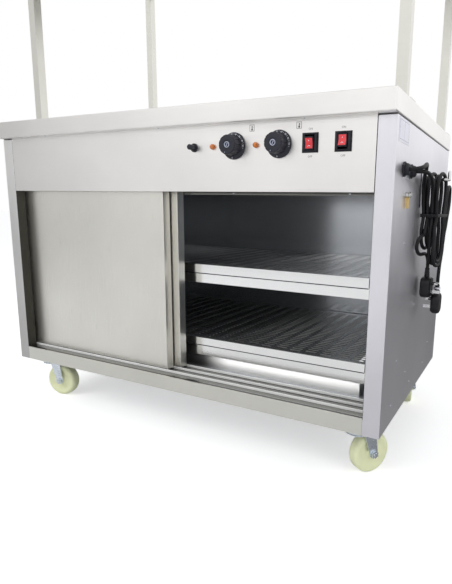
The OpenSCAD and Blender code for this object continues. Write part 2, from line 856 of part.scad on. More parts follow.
module plug_1() {
  plug(plug_1_at, plug_t[0], 1);
}

module plug_2() {
  plug(plug_2_at, plug_t[1], -1);
}

// One band round both hanks at their waist
module cord_ties() {
  room = 0.3;
  wall = 1.2;
  c = cos(hank_yaw);
  s = sin(hank_yaw);
  y0 = hank_x[0] * s - hank_fold - hank_step + waist_in - cord_r - room;
  y1 = (hank_x[1] + hank_layer) * s + fold(hank_to[1]) - waist_in + tie_slack + cord_r + room;
  x0 = hank_x[0] * c - cord_r - room;
  x1 = (hank_x[1] + hank_layer) * c + cord_r + room;
  color("#101114") translate([half_w, hook_y, waist_z - 4]) rotate([0, 0, -hank_yaw])
    linear_extrude(8) difference() {
      translate([x0 - wall, y0 - wall]) square([x1 - x0 + 2 * wall, y1 - y0 + 2 * wall]);
      translate([x0, y0]) square([x1 - x0, y1 - y0]);
    }
}

module cord_hook() {
  color("silver") {
    rod_x(half_w, hook_y, hook_z, hook_d, hook_l);
    translate([half_w + hook_l, hook_y, hook_z]) sphere(d = hook_d);
    translate([half_w + hook_l, hook_y, hook_z]) cylinder(d = hook_d, h = 18);
    translate([half_w + hook_l, hook_y, hook_z + 18]) sphere(d = hook_d);
    slab([half_w, hook_y - 12, hook_z - 9], [half_w + 2, hook_y + 12, hook_z + 7]);
  }
}

module retaining_strap() {
  y = hook_y - 44;
  z = z_panel - 180;
  color("#18191d") {
    slab([half_w, y - 6, z], [half_w + 0.8, y + 6, z + 102]);
    for (up = [6, 96])
      head_side(half_w + 0.7, y, z + up, 6, 1.1);
  }
}

module bonding_stud() {
  color("#b89a5a") translate([half_w, stud_y, stud_z]) {
    rod_x(-14, 0, 0, 6, 28);
    rotate([0, 90, 0]) cylinder(d = 14, h = 1.5);
    for (x = [1.4, 7.4])
      translate([x, 0, 0]) rotate([0, 90, 0]) cylinder(d = 11.5, h = 5, $fn = 6);
  }
}

module rating_plate() {
  color("gold")
    slab([half_w, stud_y - 9, stud_z - 29], [half_w + 0.6, stud_y + 7, stud_z - 9]);
  color("whitesmoke") slab([half_w, 15, z_panel - 50], [half_w + 0.6, 105, z_panel - 3]);
}

// ---------- screws ----------

module body_screws() {
  color("gainsboro") {
    for (x = [-396, 12, 404])
      head_down(x, -11, z_panel, 6);
    for (x = [-488, -173])
      head_down(x, 10, z_fascia, 5, 1.2);
    for (x = [163, 475])
      head_front(x, track_end - sheet_t, z_fascia, 5, 1);
    for (x = [202, 447])
      head_up(x, heater_front - 16, z_floor, 7);
    for (p = [[122, 555], [121, 278], [230, 218], [287, 174], [487, 170], [544, 220], [body_d - 18, 171], [95, 176]])
      head_side(half_w, p[0], p[1]);
    for (x = [-gantry_x, gantry_x], y = [gantry_y0, gantry_y1], i = [-1, 1], j = [-1, 1])
      head_up(x + i * 18.5, y + j * 18.5, z_work + foot_t, 7, 2);
    for (c = castor_spot, i = [-1, 1], j = [-1, 1])
      translate([c[0] + i * (plate_l / 2 - 10), c[1] + j * 32, z_edge - 6])
        cylinder(d = 15, h = 6, $fn = 6);
  }
}

// ---------- castors ----------

module castor_plates() {
  color("#b9c4cc") for (c = castor_spot) translate([c[0], c[1], 0]) {
    slab([-plate_l / 2, -42, z_edge], [plate_l / 2, 42, z_mount]);
    translate([0, 0, crown_z + crown_t + cup_gap])
      cylinder(d = cup_d, h = z_edge - crown_z - crown_t - cup_gap + eps);
    translate([0, 0, crown_z - 3.6]) cylinder(d = kingpin_d, h = z_edge - crown_z);
    translate([0, 0, crown_z - 3.9]) cylinder(d = 22, h = 3.6);
  }
}

// A crown on the kingpin, two tapering legs and a bolt for the wheel
module fork(i) {
  bolt_l = leg_out + 5.5;
  nut_at = leg_out + pin_play;
  color("#b9c4cc") translate(concat(castor_spot[i], 0)) rotate([0, 0, castor_turn[i]]) {
    difference() {
      union() {
        translate([0, 0, crown_z]) linear_extrude(crown_t) intersection() {
          circle(d = cup_d);
          square([cup_d, 2 * leg_out], center = true);
        }
        for (s = [-1, 1]) translate([0, s * (leg_in + leg_t / 2), 0])
          rotate([90, 0, 0]) linear_extrude(leg_t, center = true) {
            polygon([
              [3, crown_z + crown_t], [38, crown_z + crown_t],
              [trail + boss_r, wheel_r], [trail, wheel_r - 1], [trail - boss_r, wheel_r]
            ]);
            translate([trail, wheel_r]) circle(r = boss_r);
          }
      }
      translate([0, 0, crown_z - 1]) cylinder(d = kingpin_d + 2 * pin_play, h = crown_t + 2);
      translate([trail, 0, wheel_r]) rotate([90, 0, 0])
        cylinder(d = axle_d + 2 * pin_play, h = 4 * leg_out, center = true);
    }
    translate([trail, 0, wheel_r]) rotate([90, 0, 0]) {
      cylinder(d = axle_d, h = 2 * bolt_l, center = true);
      for (s = [0, 1]) mirror([0, 0, s]) translate([0, 0, nut_at]) {
        cylinder(d = 22, h = 1.2);
        cylinder(d = 19, h = 6.5, $fn = 6);
      }
    }
  }
}

module fork_fl() {
  fork(0);
}

module fork_fr() {
  fork(1);
}

module fork_rl() {
  fork(2);
}

module fork_rr() {
  fork(3);
}

// A nylon wheel with a rounded tread, a dished face and a hub
module wheel(i) {
  r = wheel_r;
  w = wheel_w / 2;
  hub = leg_in - 0.5;
  soft = 5;
  color("#dde0bd") translate(concat(castor_spot[i], 0)) rotate([0, 0, castor_turn[i]])
    translate([trail, 0, r]) rotate([90, 0, 0]) rotate_extrude($fn = 96) difference() {
      union() {
        translate([axle_d / 2 + pin_play, -w]) square([r - soft - axle_d / 2 - pin_play, 2 * w]);
        translate([r - soft - 1, -w + soft]) square([soft + 1, 2 * (w - soft)]);
        for (s = [-1, 1]) translate([r - soft, s * (w - soft)]) circle(r = soft);
        translate([axle_d / 2 + pin_play, -hub]) square([9, 2 * hub]);
      }
      for (s = [-1, 1])
        translate([r * 0.62, s * w]) circle(r = 4);
    }
}

module wheel_fl() {
  wheel(0);
}

module wheel_fr() {
  wheel(1);
}

module wheel_rl() {
  wheel(2);
}

module wheel_rr() {
  wheel(3);
}

// ---------- doors ----------

module door(x, y) {
  hollow_slab([x, y, z_door], [x + door_w, y + door_t, z_door_top], skin);
}

module glides(x, y) {
  for (x0 = [x + 20, x + door_w - 80])
    slab([x0, y + 5, z_slide + glide_gap], [x0 + 60, y + door_t - 5, z_door]);
}

module front_door() {
  color("#c8c7c1") door(front_door_x, door_front);
}

module front_door_glides() {
  color("ivory") glides(front_door_x, door_front);
}

module rear_door() {
  color("#b9b9b2") door(rear_door_x, rear_front);
}

module rear_door_glides() {
  color("ivory") glides(rear_door_x, rear_front);
}

// ---------- gantry ----------

module gantry_posts() {
  t = tube_w / 2;
  color("silver") for (x = [-gantry_x, gantry_x], y = [gantry_y0, gantry_y1]) difference() {
    union() {
      slab([x - t, y - t, z_work], [x + t, y + t, z_gantry]);
      slab([x - foot_w / 2, y - foot_w / 2, z_work], [x + foot_w / 2, y + foot_w / 2, z_work + foot_t]);
    }
    slab([x - t + sheet_t, y - t + sheet_t, z_work + foot_t], [x + t - sheet_t, y + t - sheet_t, z_gantry + 1]);
  }
}

module gantry_shelf() {
  color("silver") hollow_slab(
    [-gantry_x - tube_w / 2 - 4, gantry_y0 - tube_w / 2 - 4, z_gantry],
    [gantry_x + tube_w / 2 + 4, gantry_y1 + tube_w / 2 + 4, z_gantry + gantry_shelf_t], sheet_t
  );
}

// A closed reflector under the gantry shelf with one quartz tube
module gantry_lamp() {
  l = 2 * (gantry_x - 135);
  y = (gantry_y0 + gantry_y1) / 2;
  color("silver") {
    translate([-l / 2, y, z_gantry]) rotate([90, 0, 90]) linear_extrude(l)
      polygon([[-32, 0], [32, 0], [48, -34], [40, -34], [28, -8], [-28, -8], [-40, -34], [-48, -34]]);
    for (s = [-1, 1])
      slab([s * (l / 2 - 12) - 6, y - 9, z_gantry - 32], [s * (l / 2 - 12) + 6, y + 9, z_gantry - 8 + eps]);
    rod_x(-l / 2 + 8, y, z_gantry - 24, 11, l - 16);
  }
}

place() worktop();
place() fascia();
place() side_panel_left();
place() side_panel_right();
place() back_panel();
place() base_frame();
place() front_rail();
place() bottom_track();
place() top_track();
place() floor_pan();
place() liner_back();
place() liner_sides();
place() liner_ceiling();
place() upper_shelf_frame();
place() lower_shelf_frame();
place() upper_shelf();
place() lower_shelf();
place() heater_cover();
place() heating_elements();
place() top_heater();
place() thermostats();
place() knob_1();
place() knob_2();
place() rocker_frames();
place() rocker_1();
place() rocker_2();
place() indicators();
place() reset_housing();
place() reset_button();
place() cable_glands();
place() cord_1_lead();
place() cord_1_hank();
place() cord_1_tail();
place() cord_2_lead();
place() cord_2_hank();
place() cord_2_tail();
place() plug_1();
place() plug_2();
place() cord_ties();
place() cord_hook();
place() retaining_strap();
place() bonding_stud();
place() rating_plate();
place() body_screws();
place() castor_plates();
place() fork_fl();
place() fork_fr();
place() fork_rl();
place() fork_rr();
place() wheel_fl();
place() wheel_fr();
place() wheel_rl();
place() wheel_rr();
place() front_door();
place() front_door_glides();
place() rear_door();
place() rear_door_glides();
place() gantry_posts();
place() gantry_shelf();
place() gantry_lamp();
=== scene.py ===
"""Mobile serving counter: finishes, detail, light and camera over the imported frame.

Sizes are in the drawing's millimetres, x to the right, y to the back and z up. They go
through at() or piece() into metres. Studio sizes are in metres.
"""

import math

import bmesh
import bpy
from mathutils import Matrix, Vector


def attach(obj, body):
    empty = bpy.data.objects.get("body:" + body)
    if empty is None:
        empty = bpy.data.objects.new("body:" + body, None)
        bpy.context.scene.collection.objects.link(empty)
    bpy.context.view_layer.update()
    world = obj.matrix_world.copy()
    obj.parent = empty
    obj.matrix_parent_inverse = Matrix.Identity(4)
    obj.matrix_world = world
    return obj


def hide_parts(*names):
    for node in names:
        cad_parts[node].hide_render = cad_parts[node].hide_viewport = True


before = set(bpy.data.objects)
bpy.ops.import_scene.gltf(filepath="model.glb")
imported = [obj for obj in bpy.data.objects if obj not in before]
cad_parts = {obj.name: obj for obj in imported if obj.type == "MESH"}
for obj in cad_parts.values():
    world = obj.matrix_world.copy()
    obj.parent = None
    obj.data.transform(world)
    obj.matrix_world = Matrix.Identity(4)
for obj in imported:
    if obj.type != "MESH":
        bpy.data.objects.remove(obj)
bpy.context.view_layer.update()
scene = bpy.context.scene

COUNTER = "counter"
MIDDLE = (31.0, 322.75)
MM = Matrix.Scale(0.001, 4) @ Matrix.Translation((-MIDDLE[0], -MIDDLE[1], 0.0))
UPRIGHT = Matrix.Rotation(math.pi / 2, 4, "X")

# The body
HALF_W, BODY_BACK = 598.0, 678.0
POST_IN = 558.0
SHEET = 1.5
SIDE_FOOT, FLOOR_Z = 133.0, 171.0
FASCIA_FOOT = 664.0
TOP_LOW, TOP_HIGH = 815.0, 860.0
POST_XS, POST_YS = (-573, 573), (121, 640)
CASTOR_XS, CASTOR_YS = (-530, 530), (67, 613)

# The controls, on one line across the fascia
CONTROL_Z = 766.0
FRONT = (0, -1, 0)
RESET_X, LAMP_XS, DIAL_XS, SWITCH_XS = 112, (166, 282), (224, 340), (414, 488)


def at(x, y, z):
    """A point of the drawing, in metres."""
    return MM @ Vector((x, y, z))


# Camera, stage and light


def set_camera():
    """The eye point, aim, roll and off-centre crop that fit the part's straight edges."""
    yaw, rise, roll = math.radians(26.36), math.radians(10.66), math.radians(1.12)
    back = Vector((math.sin(yaw) * math.cos(rise), -math.cos(yaw) * math.cos(rise), math.sin(rise)))
    level = Vector((math.cos(yaw), math.sin(yaw), 0))
    plumb = back.cross(level)
    right = math.cos(roll) * level + math.sin(roll) * plumb
    up = -math.sin(roll) * level + math.cos(roll) * plumb
    lens = bpy.data.cameras.new("camera")
    lens.sensor_width = 36
    lens.sensor_fit = "AUTO"
    lens.lens = 29.55
    lens.shift_x = -0.0993
    lens.shift_y = 0.0086
    camera = bpy.data.objects.new("camera", lens)
    turn = Matrix((right, up, back)).transposed().to_4x4()
    camera.matrix_world = Matrix.Translation(at(839.7, -970.4, 631.6)) @ turn
    scene.collection.objects.link(camera)
    scene.camera = camera


def add_node(tree, kind, **inputs):
    """A shader node with inputs set by name, an underscore for each space."""
    made = tree.nodes.new("ShaderNode" + kind)
    for socket, value in inputs.items():
        made.inputs[socket.replace("_", " ")].default_value = value
    return made


def remap(tree, value, old, new, smooth=True):
    """A number carried over from one pair of ends to another."""
    ends = dict(zip(("From_Min", "From_Max", "To_Min", "To_Max"), (*old, *new)))
    made = add_node(tree, "MapRange", **ends)
    made.interpolation_type = "SMOOTHSTEP" if smooth else "LINEAR"
    tree.links.new(value, made.inputs["Value"])
    return made.outputs[0]


def along(tree, coordinates, axis):
    """One axis of the coordinates named."""
    apart = add_node(tree, "SeparateXYZ")
    tree.links.new(add_node(tree, "TexCoord").outputs[coordinates], apart.inputs[0])
    return apart.outputs[axis]


def seen_rays(tree, *kinds):
    """1 for camera rays and the other kinds named, 0 for the rest."""
    path = add_node(tree, "LightPath")
    total = path.outputs["Is Camera Ray"]
    for kind in kinds:
        either = add_node(tree, "Math")
        either.operation = "MAXIMUM"
        tree.links.new(total, either.inputs[0])
        tree.links.new(path.outputs[kind], either.inputs[1])
        total = either.outputs[0]
    return total


def set_world():
    """White to the eye, dimmer at the far left in reflections, and soft light on the rest."""
    world = bpy.data.worlds.new("studio")
    scene.world = world
    world.use_nodes = True
    tree = world.node_tree
    tree.nodes.clear()
    soft = add_node(tree, "Background", Color=(0.97, 0.985, 1.0, 1), Strength=0.58)
    white = add_node(tree, "Background", Color=(1, 1, 1, 1))
    strength = add_node(tree, "Mix")
    strength.inputs[2].default_value = 1.0
    tree.links.new(add_node(tree, "LightPath").outputs["Is Glossy Ray"], strength.inputs[0])
    reflected = remap(tree, along(tree, "Generated", 0), (-0.88, -0.62), (0.52, 1.12))
    tree.links.new(reflected, strength.inputs[3])
    tree.links.new(strength.outputs[0], white.inputs["Strength"])
    mix = add_node(tree, "MixShader")
    seen = seen_rays(tree, "Is Glossy Ray", "Is Transmission Ray")
    for source, socket in zip((seen, soft.outputs[0], white.outputs[0]), mix.inputs):
        tree.links.new(source, socket)
    tree.links.new(mix.outputs[0], add_node(tree, "OutputWorld").inputs["Surface"])


def stage_sheet(name, size, place):
    """A flat square of the studio, with its material's node tree and surface socket."""
    bm = bmesh.new()
    bmesh.ops.create_grid(bm, x_segments=1, y_segments=1, size=size)
    mesh = bpy.data.meshes.new(name)
    bm.to_mesh(mesh)
    bm.free()
    sheet = bpy.data.objects.new(name, mesh)
    sheet.matrix_world = place
    scene.collection.objects.link(sheet)
    material = bpy.data.materials.new(name)
    material.use_nodes = True
    tree = material.node_tree
    tree.nodes.clear()
    mesh.materials.append(material)
    return sheet, tree, add_node(tree, "OutputMaterial").inputs["Surface"]


def set_floor():
    """A pale floor that shows the shadow and glows a little to the camera alone."""
    _, tree, surface = stage_sheet("floor", 30, Matrix())
    matt = add_node(tree, "BsdfDiffuse", Color=(0.84, 0.84, 0.84, 1))
    glow = add_node(tree, "Emission")
    strength = remap(tree, seen_rays(tree), (0, 1), (0, 0.5), smooth=False)
    tree.links.new(strength, glow.inputs["Strength"])
    both = add_node(tree, "AddShader")
    tree.links.new(matt.outputs[0], both.inputs[0])
    tree.links.new(glow.outputs[0], both.inputs[1])
    tree.links.new(both.outputs[0], surface)


def dark_card(name, place, size, foot, head):
    """A card that only reflections see, of one brightness at its foot and another at its head."""
    card, tree, surface = stage_sheet(name, 0.5, place @ Matrix.Diagonal((*size, 1, 1)))
    glow = add_node(tree, "Emission")
    strength = remap(tree, along(tree, "Object", 1), (-0.5, 0.5), (foot, head), smooth=False)
    tree.links.new(strength, glow.inputs["Strength"])
    tree.links.new(glow.outputs[0], surface)
    card.visible_camera = card.visible_diffuse = False
    card.visible_shadow = card.visible_transmission = False


def soft_light(name, place, aim, size, power):
    """A rectangle of light that neither the camera nor a reflection sees."""
    data = bpy.data.lights.new(name, "AREA")
    data.shape = "RECTANGLE"
    data.size, data.size_y = size
    data.energy = power
    lamp = bpy.data.objects.new(name, data)
    place = Vector(place)
    turn = (Vector(aim) - place).to_track_quat("-Z", "Y").to_matrix().to_4x4()
    lamp.matrix_world = Matrix.Translation(place) @ turn
    lamp.visible_camera = lamp.visible_glossy = False
    scene.collection.objects.link(lamp)


set_camera()
set_world()
set_floor()
dark_card("card_behind", Matrix.Translation((2.0, 2.4, 0.5)) @ UPRIGHT, (2.9, 1.0), 0.12, 0.9)
dark_card("card_on_floor", Matrix.Translation((2.0, 1.05, 0.004)), (2.85, 2.7), 0.3, 0.12)
scene.view_settings.view_transform = "Standard"
for name, place, aim, size, power in (
    ("key_light", (-1.9, -3.0, 2.9), (0, 0, 0.5), (2.0, 2.0), 62),
    ("fill_light", (3.2, -1.4, 2.2), (0.3, 0, 0.5), (2.4, 2.0), 30),
    ("inside_light", at(450, 104, 655), at(505, 600, 430), (0.2, 0.03), 1.2),
    ("low_inside_light", at(285, 98, 194), at(285, 127, 194), (0.47, 0.012), 0.12),
):
    soft_light(name, place, aim, size, power)


# Finishes

ALONG_X, ALONG_Z = (0.01, 1, 1), (1, 1, 0.01)
X_AXIS, Z_AXIS = 0, 2


class Finish:
    """A procedural material on Object coordinates."""

    def __init__(self, name, colour, metallic=0.0, rough=0.5, **sockets):
        self.material = bpy.data.materials.new(name)
        self.material.use_nodes = True
        self.tree = self.material.node_tree
        self.shader = self.tree.nodes["Principled BSDF"]
        self.shader.inputs["Base Color"].default_value = (*colour, 1)
        self.shader.inputs["Metallic"].default_value = metallic
        self.shader.inputs["Roughness"].default_value = rough
        for socket, value in sockets.items():
            self.shader.inputs[socket.replace("_", " ")].default_value = value
        self.place = add_node(self.tree, "TexCoord").outputs["Object"]

    def noise(self, scale, detail=2, stretch=(1, 1, 1)):
        """Noise of a scale per metre, drawn out along an axis with a small number."""
        mapping = add_node(self.tree, "Mapping", Scale=stretch)
        self.tree.links.new(self.place, mapping.inputs["Vector"])
        noise = add_node(self.tree, "TexNoise", Scale=scale, Detail=detail)
        self.tree.links.new(mapping.outputs[0], noise.inputs["Vector"])
        return noise.outputs["Fac"]

    def vary(self, socket, value, low, high):
        """Runs an input of the shader from one colour to another over a noise."""
        ramp = add_node(self.tree, "ValToRGB")
        for stop, place, colour in zip(ramp.color_ramp.elements, (0.3, 0.7), (low, high)):
            stop.position = place
            stop.color = (*colour, 1)
        self.tree.links.new(value, ramp.inputs["Fac"])
        self.tree.links.new(ramp.outputs["Color"], self.shader.inputs[socket])

    def paint(self, value, low, high):
        """Mottles the colour."""
        self.vary("Base Color", value, low, high)

    def polish(self, value, low, high):
        """Makes the gloss uneven."""
        self.vary("Roughness", value, [low] * 3, [high] * 3)

    def fade(self, axis, dark_at, full_at, share):
        """Darkens the colour to a share of itself towards one place along an axis: painted shade,
        standing for darker reflections there.
        """
        tint = add_node(self.tree, "VectorMath")
        tint.operation = "SCALE"
        base = self.shader.inputs["Base Color"]
        self.tree.links.new(base.links[0].from_socket, tint.inputs[0])
        light = remap(self.tree, along(self.tree, "Object", axis), (dark_at, full_at), (share, 1.0))
        self.tree.links.new(light, tint.inputs["Scale"])
        self.tree.links.new(tint.outputs[0], base)

    def bump(self, value, strength, depth=0.0001):
        """Roughens the surface itself, by a depth in metres."""
        bump = add_node(self.tree, "Bump", Strength=strength, Distance=depth)
        self.tree.links.new(value, bump.inputs["Height"])
        self.tree.links.new(bump.outputs["Normal"], self.shader.inputs["Normal"])


def srgb(text):
    """Linear colour from a hex code."""
    values = [int(text[i:i + 2], 16) / 255 for i in (0, 2, 4)]
    return tuple(v / 12.92 if v <= 0.04045 else ((v + 0.055) / 1.055) ** 2.4 for v in values)


def around(colour, spread):
    """A colour a little darker and a little lighter."""
    return [tuple(min(1.0, v * factor) for v in colour) for factor in (1 - spread, 1 + spread)]


def steel(name, code, rough, grain=ALONG_X, streaks=0.05, cloud=0.05, metallic=1.0, painted_shades=()):
    """Brushed sheet steel, cloudy by a share, with painted shade darkening it along the axes given.
    """
    colour = srgb(code)
    finish = Finish(name, colour, metallic=metallic, rough=rough)
    lines = finish.noise(900, stretch=grain)
    finish.paint(finish.noise(3.5, detail=4), *around(colour, cloud))
    finish.polish(lines, rough * 0.82, rough * 1.18)
    finish.bump(lines, streaks)
    for fade in painted_shades:
        finish.fade(*fade)
    return finish.material


def plastic(name, code, rough, grain=1800, bump=0.12, spread=0.12, **sockets):
    """Moulded plastic or paint with a fine grain, its colour varying by a share."""
    colour = srgb(code)
    finish = Finish(name, colour, rough=rough, **sockets)
    finish.paint(finish.noise(60, detail=3), *around(colour, spread))
    finish.polish(finish.noise(25), rough * 0.9, min(1.0, rough * 1.1))
    finish.bump(finish.noise(grain), bump)
    return finish.material


def zinc_plate():
    """Bright zinc plate with a soft mottle."""
    finish = Finish("zinc", srgb("c9d3da"), metallic=1.0, rough=0.24)
    finish.paint(finish.noise(40, detail=3), srgb("d3dbe4"), srgb("e6edf6"))
    finish.polish(finish.noise(90), 0.2, 0.3)
    finish.bump(finish.noise(260), 0.05, depth=0.0002)
    return finish.material


satin_steel = steel("satin_steel", "dad9d2", 0.34)
# The fascia and worktop steel darkens towards the left end: painted shade for a dimmer reflection
# there.
fascia_steel = steel("fascia_steel", "efedeb", 0.36, painted_shades=[(X_AXIS, -0.66, -0.2, 0.86)])
door_steel = steel("door_steel", "e4e2db", 0.33, grain=ALONG_Z)
# Both side steels darken towards the foot, painted shade for the floor's reflection; the left one
# darkens more, a more shaded copy of the right.
side_steel = steel(
    "side_steel", "e7e6ec", 0.37, grain=ALONG_Z, streaks=0.03, painted_shades=[(Z_AXIS, 0.17, 0.5, 0.86)],
)
left_side_steel = steel(
    "left_side_steel", "e4e3e2", 0.37, grain=ALONG_Z, streaks=0.03,
    painted_shades=[(Z_AXIS, 0.17, 0.75, 0.66)],
)
# A dark steel that stands for shade: painted shade on the posts' returns and on the flanges seen
# through the gap under the worktop.
shade_painted_steel = steel("shade_painted_steel", "4c4b46", 0.3)
liner_steel = steel(
    "liner_steel", "c2c5ca", 0.2, grain=ALONG_Z, streaks=0.01, cloud=0.02, metallic=0.8,
)
shelf_steel = steel("shelf_steel", "a6a9ab", 0.2, streaks=0.01, cloud=0.02, metallic=0.8)
# The heater cover steel darkens towards its left end and its foot: painted shade standing for dark
# reflections there.
heater_steel = steel(
    "heater_steel", "f2f2f0", 0.42, streaks=0.02, cloud=0.02, metallic=0.5,
    painted_shades=[(X_AXIS, -0.001, 0.104, 0.1), (Z_AXIS, 0.174, 0.203, 0.45)],
)
band_steel = steel("band_steel", "f6f6f6", 0.16, streaks=0.02, cloud=0.02)
track_steel = steel("track_steel", "858581", 0.2, streaks=0.03)
# The ribs' near-white steel, lighter than the track's, is a painted highlight along the rib tops.
rib_steel = steel("rib_steel", "fbfbfa", 0.5, streaks=0.02, cloud=0.02, metallic=0.35)
bright_rod = steel("bright_rod", "dcdcdc", 0.14, cloud=0.02)
nickel = steel("nickel", "cfd0cc", 0.2, cloud=0.08)
heater_grey = steel("heater_grey", "6a6a6c", 0.45, cloud=0.15)
zinc = zinc_plate()
frame_paint = plastic("frame_paint", "46474a", 0.55, Specular_IOR_Level=0.3)
dial_black = plastic("dial_black", "24252e", 0.42, bump=0.06, Specular_IOR_Level=0.4)
boot_black = plastic("boot_black", "1d1e25", 0.5, bump=0.1, Specular_IOR_Level=0.35)
cord_black = plastic("cord_black", "101014", 0.5, bump=0.08, Specular_IOR_Level=0.3)
plug_black = plastic("plug_black", "131317", 0.4, bump=0.08, Specular_IOR_Level=0.35)
mark_white = plastic("mark_white", "e4e6ec", 0.5, bump=0.02, spread=0.03)
mark_blue = plastic("mark_blue", "aab0c2", 0.4, bump=0.02, spread=0.05)
mark_grey = plastic("mark_grey", "77767c", 0.6, bump=0.02, spread=0.03)
rocker_red = plastic("rocker_red", "e5303a", 0.2, bump=0.03, spread=0.06, Coat_Weight=0.5)
lens_amber = plastic("lens_amber", "d07428", 0.16, bump=0.02, spread=0.1, Coat_Weight=0.6)
nylon = plastic(
    "nylon", "edf0c6", 0.36, grain=700, bump=0.05, spread=0.03, Specular_IOR_Level=0.45,
)
white_nylon = plastic("white_nylon", "e6e4dc", 0.4, bump=0.03, spread=0.03)
tag_yellow = plastic("tag_yellow", "dcbc7c", 0.5, bump=0.03, spread=0.05)
plate_white = plastic("plate_white", "e9e8f4", 0.35, bump=0.02, spread=0.02)
quartz = plastic("quartz", "e9e2d8", 0.12, bump=0.01, spread=0.04, Coat_Weight=0.5)

for names, material in (
    ("fascia", fascia_steel),
    ("front_rail back_panel gantry_posts gantry_shelf", satin_steel),
    ("base_frame", frame_paint),
    ("top_track", track_steel),
    ("floor_pan liner_back liner_sides liner_ceiling", liner_steel),
    ("upper_shelf_frame lower_shelf_frame", band_steel),
    ("heater_cover", heater_steel),
    ("heating_elements top_heater", heater_grey),
    ("thermostats front_door_glides rear_door_glides", white_nylon),
    ("castor_plates", zinc),
    ("cord_hook", bright_rod),
    ("bonding_stud", nickel),
):
    for name in names.split():
        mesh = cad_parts[name].data
        mesh.materials.clear()
        mesh.materials.append(material)


# How pieces are made


def stain(bm, index):
    """Gives the faces made since the last stain their material."""
    done = bm.faces.layers.int.get("done") or bm.faces.layers.int.new("done")
    for face in bm.faces:
        if not face[done]:
            face.material_index = index
            face[done] = 1


def piece(bm, name, body, materials, stands_for="", smooth=35, wall=0.0, turn=None):
    """Puts a finished bmesh in the scene, on its body and for its node."""
    if not wall:
        bmesh.ops.recalc_face_normals(bm, faces=bm.faces)
    if turn is not None:
        bmesh.ops.transform(bm, matrix=turn, verts=bm.verts)
    bmesh.ops.transform(bm, matrix=MM, verts=bm.verts)
    done = bm.faces.layers.int.get("done")
    if done:
        bm.faces.layers.int.remove(done)
    mesh = bpy.data.meshes.new(name)
    bm.to_mesh(mesh)
    bm.free()
    mesh.shade_smooth()
    mesh.set_sharp_from_angle(angle=math.radians(smooth))
    for material in materials if isinstance(materials, list) else [materials]:
        mesh.materials.append(material)
    obj = bpy.data.objects.new(name, mesh)
    scene.collection.objects.link(obj)
    if wall:
        solid = obj.modifiers.new("wall", "SOLIDIFY")
        solid.thickness = wall / 1000
        solid.offset = -1
    even = obj.modifiers.new("even_shading", "WEIGHTED_NORMAL")
    even.keep_sharp = True
    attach(obj, body)
    if stands_for:
        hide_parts(*stands_for.split())
    return obj


def soften(bm, edges, by, steps=2):
    """Rounds edges off."""
    bmesh.ops.bevel(
        bm, geom=list(edges), offset=by, segments=steps, profile=0.5,
        affect="EDGES", clamp_overlap=True, material=-1,
    )


def shift(bm, made, by):
    """Moves the corners that an extrude has made."""
    verts = [v for v in made["geom"] if isinstance(v, bmesh.types.BMVert)]
    bmesh.ops.translate(bm, vec=by, verts=verts)


def wire(bm, points, closed):
    """Corners joined in their order, and round to the first where it is closed."""
    verts = [bm.verts.new(p) for p in points]
    edges = [bm.edges.new(pair) for pair in zip(verts, verts[1:])]
    if closed:
        edges.append(bm.edges.new((verts[-1], verts[0])))
    return verts, edges


def ring(bm, points):
    """The edges round an opening or a sheet."""
    verts = [bm.verts.new(p) for p in points]
    return [bm.edges.new((verts[i - 1], verts[i])) for i in range(len(verts))]


def block(bm, low, high, edge=0.0, steps=2):
    """A box between two opposite corners, with softened edges."""
    low, high = (Vector([pick(p, q) for p, q in zip(low, high)]) for pick in (min, max))
    verts = bmesh.ops.create_cube(bm, size=1.0)["verts"]
    bmesh.ops.scale(bm, vec=high - low, verts=verts)
    bmesh.ops.translate(bm, vec=(low + high) / 2, verts=verts)
    if edge:
        soften(bm, {e for v in verts for e in v.link_edges}, edge, steps)


def rod(bm, start, end, radius, end_radius=None, steps=24, edge=0.0):
    """A round bar or cone between two points; 6 steps make a nut."""
    start, end = Vector(start), Vector(end)
    turn = (end - start).to_track_quat("Z", "Y").to_matrix().to_4x4()
    verts = bmesh.ops.create_cone(
        bm, cap_ends=True, segments=steps, radius1=radius,
        radius2=radius if end_radius is None else end_radius, depth=(end - start).length,
        matrix=Matrix.Translation((start + end) / 2) @ turn,
    )["verts"]
    if edge:
        caps = {f for v in verts for f in v.link_faces if len(f.verts) == steps}
        soften(bm, {e for f in caps for e in f.edges}, edge)


def turned(bm, outline, centre, axis, steps=48, closed=False):
    """Spins an outline of (along, radius) points about an axis."""
    old = set(bm.verts)
    axis = Vector(axis).normalized()
    side = axis.orthogonal().normalized()
    verts, edges = wire(bm, [Vector(centre) + axis * a + side * r for a, r in outline], closed)
    bmesh.ops.spin(
        bm, geom=verts + edges, cent=centre, axis=axis,
        angle=math.tau, steps=steps, use_merge=True,
    )
    bmesh.ops.remove_doubles(bm, verts=[v for v in bm.verts if v not in old], dist=0.002)


def plate(bm, outline, deep, corner=0.0, edge=0.0, steps=5):
    """A flat shape from a few corners, rounded, pushed along deep and softened."""
    old = set(bm.faces)
    face = bm.faces.new([bm.verts.new(p) for p in outline])
    if corner:
        bmesh.ops.bevel(
            bm, geom=face.verts[:], offset=corner, segments=steps, profile=0.5,
            affect="VERTICES", clamp_overlap=True, material=-1,
        )
    face = next(f for f in bm.faces if f not in old)
    made = bmesh.ops.extrude_face_region(bm, geom=[face])["geom"]
    cap = next(f for f in made if isinstance(f, bmesh.types.BMFace))
    bmesh.ops.translate(bm, vec=deep, verts=cap.verts[:])
    if edge:
        soften(bm, {e for f in (face, cap) for e in f.edges}, edge)


